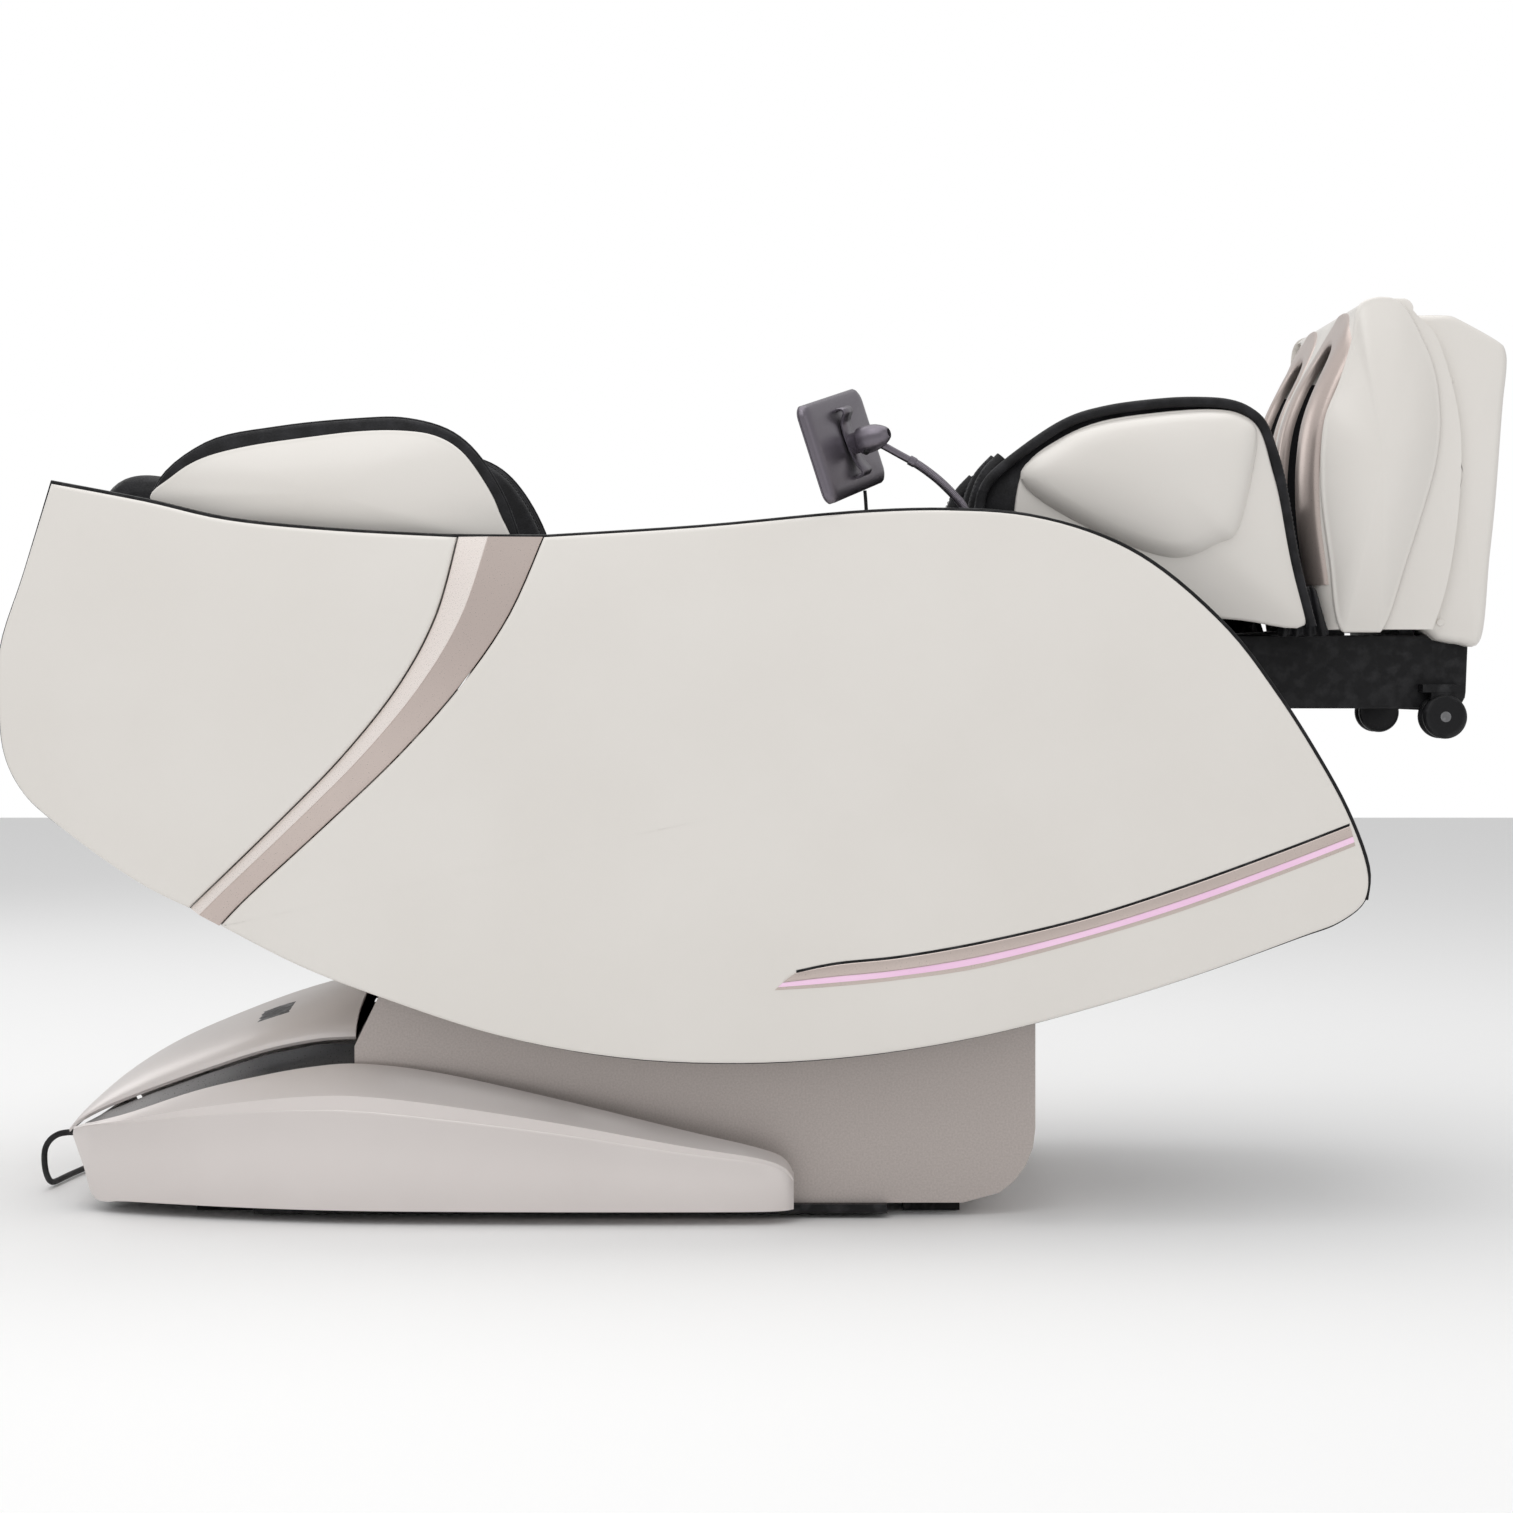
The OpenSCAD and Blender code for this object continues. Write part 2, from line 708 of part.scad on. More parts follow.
module tablet_body() {
    r = 14;
    color("dimgray")
        at_tablet()
            translate([-tablet_t / 2, 0, 0])
                rotate([0, 90, 0])
                    linear_extrude(tablet_t)
                        difference() {
                            square([tablet_h, tablet_w], center = true);
                            for (a = [-1, 1])
                                for (b = [-1, 1])
                                    translate([a * tablet_h / 2, b * tablet_w / 2])
                                        difference() {
                                            square(2 * r, center = true);
                                            translate([-a * r, -b * r]) circle(r);
                                        }
                        }
}

// ---------------------------------------------------------------- leg rest

module leg_frame() {
    cheek = [[335, 700], [335, 742], [375, 745], [640, 722], [640, 655], [420, 655]];
    color("black") {
        both_sides()
            difference() {
                plate(cheek, 132, 142);
                bar(knee_pivot, knee_r + fit_gap, 120, 150);
            }
        translate([560, -132, 660]) cube([70, 264, 8]);
        translate([400, -132, 725]) cube([235, 264, 4]);
        both_sides() plate([[405, 725], [435, 725], [435, 625], [405, 625]], 20, 28);
        bar(leg_head, 7, -20, 20);
    }
}

module calf_shells() {
    color("white")
        both_sides()
            dome(ring_curve(calf_outline), [510, 880], 232, 8, 20, 5);
}

module calf_cushion() {
    side = [[284, 880], [300, 944], [371, 994], [429, 1014], [506, 1024], [560, 1025], [592, 1020],
        [618, 1010], [632, 994], [640, 950], [652, 880], [656, 800], [652, 768], [400, 768], [330, 790], [290, 830]];
    color("black") {
        difference() {
            plate([[300, 790], [300, 930], [640, 930], [652, 880], [652, 768], [345, 768]], -196, 196);
            both_sides()
                translate([200, leg_y, 905])
                    rotate([0, 94, 0])
                        cylinder(h = 600, r = calf_r);
            both_sides()
                translate([200, leg_y - calf_r, 905]) cube([500, 2 * calf_r, 100]);
        }
        both_sides() plate(ring_curve(side), 196, 231);
    }
}

module leg_actuator_tube() {
    color("dimgray") actuator_tube(leg_foot, leg_head, 300);
}

module leg_actuator_rod() {
    color("silver") actuator_rod(leg_foot, leg_head, 140);
}

module leg_bellows() {
    color("black") translate([672, -228, 738]) cube([24, 456, 48]);
}

// ---------------------------------------------------------------- foot unit

module foot_front_shell() {
    outline = concat(curve(foot_front), curve(foot_rear), [[850, 735]]);
    slot = [[600, 812], [845, 812], [862, 900], [862, 1000], [838, 1085], [805, 1128], [780, 1134], [600, 1000]];
    color("white")
        difference() {
            plate(outline, -200, 200);
            both_sides() {
                plate(slot, leg_y - slot_half_w, leg_y + slot_half_w);
                translate([600, leg_y - slot_half_w, 990]) cube([185, 2 * slot_half_w, 120]);
            }
            bar(sole_axis, 6 + fit_gap, -185, 185);
        }
}

module foot_slot_bezels() {
    face = trim_to_z(full_curve(foot_front), 790, 1125);
    color("tan")
        both_sides()
            difference() {
                plate(band(face, -5), leg_y - slot_half_w - 14, leg_y + slot_half_w + 14);
                translate([600, leg_y - slot_half_w, 812]) cube([200, 2 * slot_half_w, 298]);
            }
}

function trim_to_z(p, z0, z1) = [for (q = p) if (q[1] >= z0 && q[1] <= z1) q];

module foot_slot_liners() {
    path = [[735, 813], [780, 815], [808, 835], [816, 900], [820, 1000], [806, 1065], [780, 1108]];
    color("black")
        both_sides()
            plate(band(full_curve(path), -12), leg_y - slot_half_w + 1, leg_y + slot_half_w - 1);
}

module foot_side_covers() {
    color("white")
        both_sides()
            dome(reversed(ring_curve(foot_side)), [780, 950], 202, 6, 26, 5);
}

module foot_back_cover() {
    joint_line = [for (q = full_curve(foot_rear)) if (q[0] > 832 && q[1] > 740) q + [4, 0]];
    outer = concat(full_curve(foot_shell_back), reversed(joint_line));
    inner = [[838, 1129], [871, 1131], [886, 1126], [934, 1100], [943, 1088], [944, 1066], [939, 1019],
        [930, 900], [922, 823], [911, 727], [885, 722], [840, 740], [840, 800], [870, 900], [870, 1000]];
    color("white")
        difference() {
            plate(outer, -190, 190);
            plate(inner, -186, 186);
        }
}

module sole_rollers() {
    color("gray") {
        bar(sole_axis, 6, -182, 182);
        both_sides()
            for (y = [leg_y - 26, leg_y + 26])
                difference() {
                    translate([sole_axis[0], y, sole_axis[1]])
                        rotate([90, 0, 0])
                            rotate_extrude() {
                                translate([9, 0]) circle(8);
                                translate([0, -8]) square([9, 16]);
                            }
                    bar(sole_axis, 5.99, y - 20, y + 20);
                }
    }
}

module foot_undercarriage() {
    cheek = [[560, 650], [560, 712], [700, 722], [784, 715], [904, 701], [899, 645], [888, 630], [664, 640]];
    color("black") {
        both_sides() {
            plate(cheek, 146, 156);
            translate([840, 156, 655]) cube([50, 36, 10]);
            difference() {
                translate([851, 181, 608]) cube([30, 10, 47]);
                bar(caster_axis, 5, 170, 200);
            }
        }
        translate([700, -146, 705]) cube([195, 292, 8]);
        translate([889, -146, 640]) cube([8, 292, 60]);
        for (x = [730, 820])
            translate([x, -146, 713]) cube([20, 292, 22]);
    }
}

module foot_caster() {
    color("black") {
        bar(caster_axis, caster_r, 167, 179);
        bar(caster_axis, caster_r, 193, 205);
        bar(caster_axis, 4.9, 179, 193);
    }
}

base_frame();
base_skirt();
base_tower();
base_hump_cover();
base_tail_cover();
fairing();  // base_fairing_left
right_side() fairing();  // base_fairing_right
both_sides() groove();  // base_grooves
rubber_feet();
rear_axle();
rear_wheel();  // rear_wheel_left
right_side() rear_wheel();  // rear_wheel_right
power_rocker();
mains_strain_relief();
mains_lead();
mains_lead_coil();
mains_plug();
electronics_box();
tilt_pivot_pins();
tilt_actuator_tube();
tilt_actuator_rod();
body_frame();
side_panel();  // side_panel_left
right_side() side_panel();  // side_panel_right
accent_strip();  // accent_strip_left
right_side() accent_strip();  // accent_strip_right
rear_panel();  // rear_panel_left
right_side() rear_panel();  // rear_panel_right
back_shell();
both_sides() edge_trim();  // edge_trims
light_trims();
light_lenses();
shoulder_wings();
shoulder_pads();
back_cushion();
head_pillow();
seat_cushion();
arm_cushions();
track_rails();
massage_carriage();
kneading_rollers();
gooseneck();
tablet_cable();
tablet_bracket();
tablet_body();
leg_frame();
calf_shells();
calf_cushion();
leg_actuator_tube();
leg_actuator_rod();
leg_bellows();
foot_front_shell();
foot_slot_bezels();
foot_slot_liners();
foot_side_covers();
foot_back_cover();
sole_rollers();
foot_undercarriage();
foot_caster();  // foot_caster_left
right_side() foot_caster();  // foot_caster_right
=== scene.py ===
"""Looks of the massage chair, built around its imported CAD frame. Lengths in outlines are in millimetres."""
import json
import math

import bmesh
import bpy
import numpy as np
from mathutils import Matrix, Vector


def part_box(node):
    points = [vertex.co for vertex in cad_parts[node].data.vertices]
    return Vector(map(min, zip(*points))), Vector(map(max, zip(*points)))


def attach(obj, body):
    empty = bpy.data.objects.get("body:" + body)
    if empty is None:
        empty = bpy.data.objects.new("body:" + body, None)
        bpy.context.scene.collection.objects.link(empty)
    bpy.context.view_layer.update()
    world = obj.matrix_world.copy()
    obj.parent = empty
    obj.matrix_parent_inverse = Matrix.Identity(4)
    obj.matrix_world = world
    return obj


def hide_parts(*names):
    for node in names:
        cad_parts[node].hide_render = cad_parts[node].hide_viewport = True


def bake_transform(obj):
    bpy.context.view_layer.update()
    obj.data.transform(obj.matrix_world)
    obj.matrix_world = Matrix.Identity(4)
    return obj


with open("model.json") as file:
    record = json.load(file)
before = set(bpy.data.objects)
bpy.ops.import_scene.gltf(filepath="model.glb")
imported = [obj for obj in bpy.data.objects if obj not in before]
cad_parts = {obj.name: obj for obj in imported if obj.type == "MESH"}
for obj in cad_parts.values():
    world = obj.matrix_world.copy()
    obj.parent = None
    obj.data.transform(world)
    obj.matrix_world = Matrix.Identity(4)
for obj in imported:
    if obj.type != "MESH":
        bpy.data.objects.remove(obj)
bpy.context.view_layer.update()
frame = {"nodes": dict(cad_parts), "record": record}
nodes = frame["nodes"]

MM = 0.001
SIDES = (1, -1)
NAMED_SIDES = ((1, "left"), (-1, "right"))


# ---------------------------------------------------------------- camera

def make_camera():
    data = bpy.data.cameras.new("camera")
    data.lens = 65.6
    data.sensor_width = 36
    data.shift_y = -0.058
    camera = bpy.data.objects.new("camera", data)
    camera.location = (-0.008, -3.700, 0.685)
    camera.rotation_euler = (math.radians(90), 0, 0)
    bpy.context.scene.collection.objects.link(camera)
    bpy.context.scene.camera = camera


make_camera()


# ---------------------------------------------------------------- curves and outlines

def unit(v):
    return v / np.maximum(np.linalg.norm(v, axis=-1, keepdims=True), 1e-9)


def curve(points, steps=2, closed=False):
    """Points along the smooth curve that passes through the given ones, as part.scad draws it."""
    p = np.array(points, float)
    n = len(p)
    spans = n if closed else n - 1
    made = []
    for i in range(spans):
        if closed:
            a, b, c, d = (p[(i + k) % n] for k in (-1, 0, 1, 2))
        else:
            a, b, c, d = p[max(i - 1, 0)], p[i], p[i + 1], p[min(i + 2, n - 1)]
        for t in np.arange(steps) / steps:
            made.append(0.5 * (2 * b + (c - a) * t + (2 * a - 5 * b + 4 * c - d) * t ** 2
                               + (3 * b - a - 3 * c + d) * t ** 3))
    if not closed:
        made.append(p[-1])
    return np.array(made)


def distances(path):
    """Distance run along a path at each of its points."""
    return np.concatenate([[0], np.cumsum(np.linalg.norm(np.diff(path, axis=0), axis=1))])


def path_length(path):
    return float(np.linalg.norm(np.diff(np.array(path, float), axis=0), axis=1).sum())


def even(path, count, closed=False):
    """The same path cut into points an equal way apart."""
    p = np.array(path, float)
    if closed:
        p = np.vstack([p, p[:1]])
    run = distances(p)
    at = np.linspace(0, run[-1], count + 1)[:-1] if closed else np.linspace(0, run[-1], count)
    return np.stack([np.interp(at, run, p[:, k]) for k in range(p.shape[1])], axis=1)


def row_at(x, rows):
    """Row of a station list at a given first value."""
    rows = np.array(rows, float)
    return np.array([np.interp(x, rows[:, 0], rows[:, k]) for k in range(rows.shape[1])])


def inset(outline, distance):
    """Closed clockwise outline moved inward by a distance."""
    before = unit(outline - np.roll(outline, 1, axis=0))
    after = unit(np.roll(outline, -1, axis=0) - outline)
    way = before + after
    size = np.maximum(np.linalg.norm(way, axis=1, keepdims=True), 0.7)
    way = way / size
    return outline + distance * (2 / size) * np.stack([way[:, 1], -way[:, 0]], axis=1)


def scaled(outline, centre, s):
    return np.array(centre) + s * (outline - np.array(centre))


def clockwise(outline):
    """The same closed outline, turned about if it runs the other way round."""
    x, z = outline[:, 0], outline[:, 1]
    if np.sum(x * np.roll(z, -1) - np.roll(x, -1) * z) > 0:
        return outline[::-1]
    return outline


def right_of(path):
    """Unit way to the right of a path's run, at each of its points."""
    way = unit(np.gradient(path, axis=0))
    return np.stack([way[:, 1], -way[:, 0]], axis=1)


def drawn_in(share, depth, power):
    """How far a pad's rim draws in at a share of its width: nothing in the middle, the depth at its sides."""
    return depth * (1 - math.sqrt(max(0.0, 1 - abs(2 * share - 1) ** power)))


def falloff(values):
    """Smooth fall from 1 to 0 as the values go from 0 to 1."""
    t = np.clip(values, 0, 1)
    return 1 - t * t * (3 - 2 * t)


# ---------------------------------------------------------------- meshes

# Ways that no tube and no turned piece here runs along, so that a cross section can start from them.
TUBE_ASIDE = (0.31, 0.12, 0.94)
LATHE_ASIDE = (0.13, 0.07, 0.99)


def piece(name, verts, faces, material, sharp=40):
    """A mesh object from points in millimetres."""
    mesh = bpy.data.meshes.new(name)
    mesh.from_pydata([tuple(v) for v in np.array(verts, float) * MM], [], faces)
    bm = bmesh.new()
    bm.from_mesh(mesh)
    bmesh.ops.remove_doubles(bm, verts=bm.verts, dist=1e-6)
    bmesh.ops.recalc_face_normals(bm, faces=bm.faces)
    bm.to_mesh(mesh)
    bm.free()
    mesh.shade_smooth()
    mesh.set_sharp_from_angle(angle=math.radians(sharp))
    made = bpy.data.objects.new(name, mesh)
    bpy.context.scene.collection.objects.link(made)
    if material is not None:
        mesh.materials.append(material)
    return made


def ring_faces(rings, count, closed=True, start=0):
    faces = []
    spans = count if closed else count - 1
    for i in range(rings - 1):
        for j in range(spans):
            a, b = start + i * count + j, start + i * count + (j + 1) % count
            faces.append((a, b, b + count, a + count))
    return faces


def loft(name, rings, material, caps=True, wrap=False, sharp=40):
    """Skin through rings of points, with a fan over each end, or joined end to end."""
    rings = np.array(rings, float)
    m, n, _ = rings.shape
    verts = rings.reshape(-1, 3)
    faces = ring_faces(m, n)
    if wrap:
        last = (m - 1) * n
        faces += [(last + j, last + (j + 1) % n, (j + 1) % n, j) for j in range(n)]
    elif caps:
        verts = np.vstack([verts, rings[0].mean(0), rings[-1].mean(0)])
        last = (m - 1) * n
        faces += [(m * n, (j + 1) % n, j) for j in range(n)]
        faces += [(m * n + 1, last + j, last + (j + 1) % n) for j in range(n)]
    return piece(name, verts, faces, material, sharp)


def tube(name, path, radius, material, sides=16, sharp=60):
    """Round tube along a path; the radius is one number or one for each point."""
    p = np.array(path, float)
    r = np.broadcast_to(np.array(radius, float), (len(p),))
    t = unit(np.gradient(p, axis=0))
    u = unit(np.cross(t, TUBE_ASIDE))
    v = np.cross(t, u)
    a = np.linspace(0, 2 * np.pi, sides, endpoint=False)
    ring = np.cos(a)[None, :, None] * u[:, None] + np.sin(a)[None, :, None] * v[:, None]
    return loft(name, p[:, None] + r[:, None, None] * ring, material, sharp=sharp)


def lathe(name, profile, at, axis, material, steps=48, sharp=35, bored=False):
    """Solid turned about an axis, its profile of (distance along it, radius) closed, or bored through."""
    axis = unit(np.array(axis, float))
    side = unit(np.cross(axis, LATHE_ASIDE))
    other = np.cross(axis, side)
    a = np.linspace(0, 2 * np.pi, steps, endpoint=False)
    wheel = np.cos(a)[:, None] * side + np.sin(a)[:, None] * other
    rings = [np.array(at) + h * axis + r * wheel for h, r in profile]
    return loft(name, rings, material, sharp=sharp, wrap=bored)


def joined(name, made):
    """Several pieces made into one."""
    target = made[0]
    bm = bmesh.new()
    materials = []
    for o in made:
        first = len(bm.faces)
        bm.from_mesh(o.data)
        bm.faces.ensure_lookup_table()
        for m in o.data.materials:
            if m not in materials:
                materials.append(m)
        if o.data.materials:
            index = materials.index(o.data.materials[0])
            for f in bm.faces[first:]:
                f.material_index = index
    mesh = bpy.data.meshes.new(name)
    bm.to_mesh(mesh)
    bm.free()
    for m in materials:
        mesh.materials.append(m)
    for o in made[1:]:
        bpy.data.objects.remove(o)
    target.data = mesh
    target.name = name
    return target


def bevel(o, width, segments=2, angle=35):
    m = o.modifiers.new("bevel", "BEVEL")
    m.width = width * MM
    m.segments = segments
    m.limit_method = "ANGLE"
    m.angle_limit = math.radians(angle)
    m.harden_normals = False
    return o


def apply(o):
    """Makes an object's modifiers part of its mesh."""
    graph = bpy.context.evaluated_depsgraph_get()
    graph.update()
    mesh = bpy.data.meshes.new_from_object(o.evaluated_get(graph))
    o.modifiers.clear()
    o.data = mesh
    return o


def place(o, body, slot, *stands_for):
    """Puts a finished piece on its body."""
    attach(o, body)
    if stands_for:
        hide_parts(*stands_for)
    return o


# ---------------------------------------------------------------- materials

def new_material(name, colour, roughness, metallic=0.0, coat=0.0, coat_roughness=0.1, sheen=0.0, ior=1.5):
    material = bpy.data.materials.new(name)
    material.use_nodes = True
    shader = material.node_tree.nodes["Principled BSDF"]
    shader.inputs["Base Color"].default_value = (*colour, 1)
    shader.inputs["Roughness"].default_value = roughness
    shader.inputs["Metallic"].default_value = metallic
    shader.inputs["Coat Weight"].default_value = coat
    shader.inputs["Coat Roughness"].default_value = coat_roughness
    shader.inputs["Sheen Weight"].default_value = sheen
    shader.inputs["IOR"].default_value = ior
    shader.inputs["Specular IOR Level"].default_value = 0.22 if max(colour) < 0.05 else 0.5
    return material


class Maker:
    """Short ways to add nodes to one material."""

    def __init__(self, material):
        self.tree = material.node_tree
        self.shader = self.tree.nodes["Principled BSDF"]
        self.place = self.add("ShaderNodeTexCoord").outputs["Object"]

    def add(self, kind, **settings):
        node = self.tree.nodes.new(kind)
        for key, value in settings.items():
            setattr(node, key, value)
        return node

    def link(self, a, b):
        self.tree.links.new(a, b)

    def stretched(self, scale):
        mapping = self.add("ShaderNodeMapping")
        mapping.inputs["Scale"].default_value = scale
        self.link(self.place, mapping.inputs["Vector"])
        return mapping.outputs["Vector"]

    def noise(self, scale, detail=3, vector=None):
        node = self.add("ShaderNodeTexNoise")
        node.inputs["Scale"].default_value = scale
        node.inputs["Detail"].default_value = detail
        self.link(vector or self.place, node.inputs["Vector"])
        return node.outputs["Fac"]

    def cells(self, scale, feature="F1", vector=None):
        node = self.add("ShaderNodeTexVoronoi", feature=feature)
        node.inputs["Scale"].default_value = scale
        self.link(vector or self.place, node.inputs["Vector"])
        return node.outputs["Distance"]

    def ramp(self, value, low, high, start=0.0, end=1.0):
        node = self.add("ShaderNodeMapRange")
        for key, number in (("From Min", low), ("From Max", high), ("To Min", start), ("To Max", end)):
            node.inputs[key].default_value = number
        self.link(value, node.inputs["Value"])
        return node.outputs["Result"]

    def mix(self, factor, a, b):
        node = self.add("ShaderNodeMix", data_type="RGBA")
        for key, value in (("A", a), ("B", b)):
            socket = [s for s in node.inputs if s.name == key and s.type == "RGBA"][0]
            if isinstance(value, tuple):
                socket.default_value = (*value, 1)
            else:
                self.link(value, socket)
        factor_in = [s for s in node.inputs if s.name == "Factor" and s.type == "VALUE"][0]
        self.link(factor, factor_in)
        return [s for s in node.outputs if s.type == "RGBA"][0]

    def times(self, a, b):
        node = self.add("ShaderNodeMath", operation="MULTIPLY")
        self.link(a, node.inputs[0])
        self.link(b, node.inputs[1])
        return node.outputs["Value"]

    def wave(self, direction, scale, distortion=0.0):
        node = self.add("ShaderNodeTexWave", bands_direction=direction)
        node.inputs["Scale"].default_value = scale
        node.inputs["Distortion"].default_value = distortion
        self.link(self.place, node.inputs["Vector"])
        return node.outputs["Fac"]

    def worn(self):
        """High on convex edges, broken up by noise."""
        edge = self.add("ShaderNodeNewGeometry").outputs["Pointiness"]
        return self.times(self.ramp(edge, 0.51, 0.58), self.ramp(self.noise(60), 0.45, 0.65))

    def bump(self, height, strength, distance):
        node = self.add("ShaderNodeBump")
        node.inputs["Strength"].default_value = strength
        node.inputs["Distance"].default_value = distance
        self.link(height, node.inputs["Height"])
        old = self.shader.inputs["Normal"].links
        if old:
            self.link(old[0].from_socket, node.inputs["Normal"])
        self.link(node.outputs["Normal"], self.shader.inputs["Normal"])

    def colour(self, socket):
        self.link(socket, self.shader.inputs["Base Color"])

    def roughness(self, socket):
        self.link(socket, self.shader.inputs["Roughness"])

    def uneven_shine(self, scale, detail, low, high):
        self.roughness(self.ramp(self.noise(scale, detail), 0.3, 0.7, low, high))


def lacquer(name, light, dark, metallic, roughness, coat, grain):
    """Sprayed pearl or metallic finish: fine flake, cloudy tone and a thin clear coat."""
    material = new_material(name, light, roughness, metallic, coat, 0.22)
    m = Maker(material)
    flake = m.ramp(m.cells(2600), 0.0, 0.7)
    cloud = m.ramp(m.noise(5, 4), 0.35, 0.65)
    m.colour(m.mix(m.times(flake, cloud), light, dark))
    m.uneven_shine(900, 2, roughness - 0.05, roughness + 0.06)
    m.bump(m.noise(grain, 2), 0.10, 0.0004)
    return material


def tower_paint():
    """Satin metallic paint with a fine cast texture."""
    light, dark = (0.54, 0.485, 0.46), (0.47, 0.42, 0.395)
    material = new_material("tower_paint", light, 0.5, 0.35, 0.05)
    m = Maker(material)
    m.colour(m.mix(m.ramp(m.noise(420, 5), 0.35, 0.65), light, dark))
    m.uneven_shine(500, 2, 0.42, 0.62)
    m.bump(m.noise(650, 4), 0.35, 0.0006)
    return material


def leather():
    """Black leather: pebble grain, creases, and a faint painted sheen, its colour lighter on the high spots of
    the crease relief.
    """
    base, high = (0.008, 0.008, 0.009), (0.020, 0.020, 0.023)
    material = new_material("black_leather", base, 0.42, sheen=0.02)
    m = Maker(material)
    grain = m.cells(520, "SMOOTH_F1")
    crease = m.noise(45, 6)
    # Painted sheen: the colour lightens where the crease noise is high, the same noise that raises the bump.
    m.colour(m.mix(m.ramp(crease, 0.4, 0.7), base, high))
    m.roughness(m.ramp(grain, 0.0, 0.6, 0.36, 0.58))
    m.bump(grain, 0.55, 0.0006)
    m.bump(crease, 0.20, 0.0012)
    return material


def thread():
    dark = (0.03, 0.03, 0.033)
    material = new_material("thread", dark, 0.6, sheen=0.1)
    m = Maker(material)
    twist = m.wave("DIAGONAL", 700)
    m.bump(twist, 0.5, 0.0003)
    # Painted highlight and shade: the colour lightens on the raised plies of the twist and darkens between
    # them.
    m.colour(m.mix(twist, dark, (0.10, 0.10, 0.11)))
    return material


def knit():
    """Black knitted lining, darker between the loops and lighter on them: painted shade and highlight on the
    knit relief.
    """
    material = new_material("black_fabric", (0.012, 0.012, 0.014), 0.85, sheen=0.05)
    m = Maker(material)
    loops = m.times(m.wave("Z", 260, 1.5), m.wave("Y", 260, 1.5))
    # Painted shade and highlight: the colour follows the loop relief that also drives the bump.
    m.colour(m.mix(loops, (0.006, 0.006, 0.007), (0.035, 0.035, 0.038)))
    m.bump(loops, 0.7, 0.0008)
    return material


def moulded(name, colour, roughness, worn_colour, grain=700, metallic=0.0):
    """Moulded plastic, rubber or painted metal: fine grain, uneven sheen, lighter rubbed edges."""
    material = new_material(name, colour, roughness, metallic)
    m = Maker(material)
    tone = tuple(min(1.0, c * 1.15 + 0.001) for c in colour)
    body = m.mix(m.ramp(m.noise(14, 5), 0.35, 0.7), colour, tone)
    m.colour(m.mix(m.worn(), body, worn_colour))
    m.uneven_shine(180, 3, roughness - 0.07, roughness + 0.09)
    m.bump(m.noise(grain, 3), 0.28, 0.0004)
    return material


def turned_steel():
    material = new_material("bright_steel", (0.62, 0.62, 0.63), 0.3, 1.0)
    m = Maker(material)
    lines = m.noise(60, 3, m.stretched((1, 60, 1)))
    m.roughness(m.ramp(lines, 0.3, 0.7, 0.22, 0.4))
    m.colour(m.mix(m.ramp(lines, 0.3, 0.7), (0.55, 0.55, 0.56), (0.70, 0.70, 0.71)))
    m.bump(lines, 0.12, 0.0002)
    return material


def gunmetal():
    light, dark = (0.21, 0.19, 0.22), (0.16, 0.145, 0.17)
    material = new_material("gunmetal", light, 0.34, 0.85, 0.15, 0.2)
    m = Maker(material)
    m.colour(m.mix(m.ramp(m.cells(2200), 0.0, 0.7), light, dark))
    m.uneven_shine(700, 2, 0.28, 0.42)
    m.bump(m.noise(900, 2), 0.08, 0.0003)
    return material


def groove_painted_shade():
    """Satin channel whose colour is painted shade and reflection: dark towards the tower, lighter towards the
    tail.
    """
    material = new_material("groove_gloss", (0.07, 0.07, 0.075), 0.32, 0.4, 0.2, 0.2)
    m = Maker(material)
    split = m.add("ShaderNodeSeparateXYZ")
    m.link(m.place, split.inputs["Vector"])
    # Painted shade and reflection: the colour darkens from the tail towards the tower, under which the channel
    # runs.
    run = m.ramp(split.outputs["X"], -0.62, -0.80)
    m.colour(m.mix(run, (0.045, 0.045, 0.048), (0.42, 0.41, 0.41)))
    m.uneven_shine(500, 2, 0.26, 0.40)
    m.bump(m.noise(800, 2), 0.06, 0.0003)
    return material


def lens():
    """Frosted strip with an even pink glow."""
    pink = (0.80, 0.52, 0.72)
    material = new_material("light_lens", pink, 0.35)
    material.node_tree.nodes["Principled BSDF"].inputs["Emission Strength"].default_value = 0.16
    m = Maker(material)
    glow = m.mix(m.ramp(m.noise(9, 2), 0.35, 0.65), pink, (0.84, 0.58, 0.76))
    m.colour(glow)
    m.link(glow, m.shader.inputs["Emission Color"])
    m.bump(m.noise(1200, 2), 0.15, 0.0002)
    return material


def screen():
    material = new_material("screen", (0.006, 0.006, 0.008), 0.06, 0.0, 0.5, 0.03)
    m = Maker(material)
    m.roughness(m.ramp(m.noise(7, 3), 0.35, 0.7, 0.04, 0.14))
    return material


def plain_stage():
    return new_material("floor", (0.93, 0.93, 0.93), 0.9)


WHITE = lacquer("pearl_white", (0.775, 0.745, 0.705), (0.750, 0.718, 0.676), 0.0, 0.34, 0.25, 500)
CHAMPAGNE = lacquer("champagne", (0.60, 0.515, 0.475), (0.55, 0.465, 0.43), 0.6, 0.32, 0.15, 700)
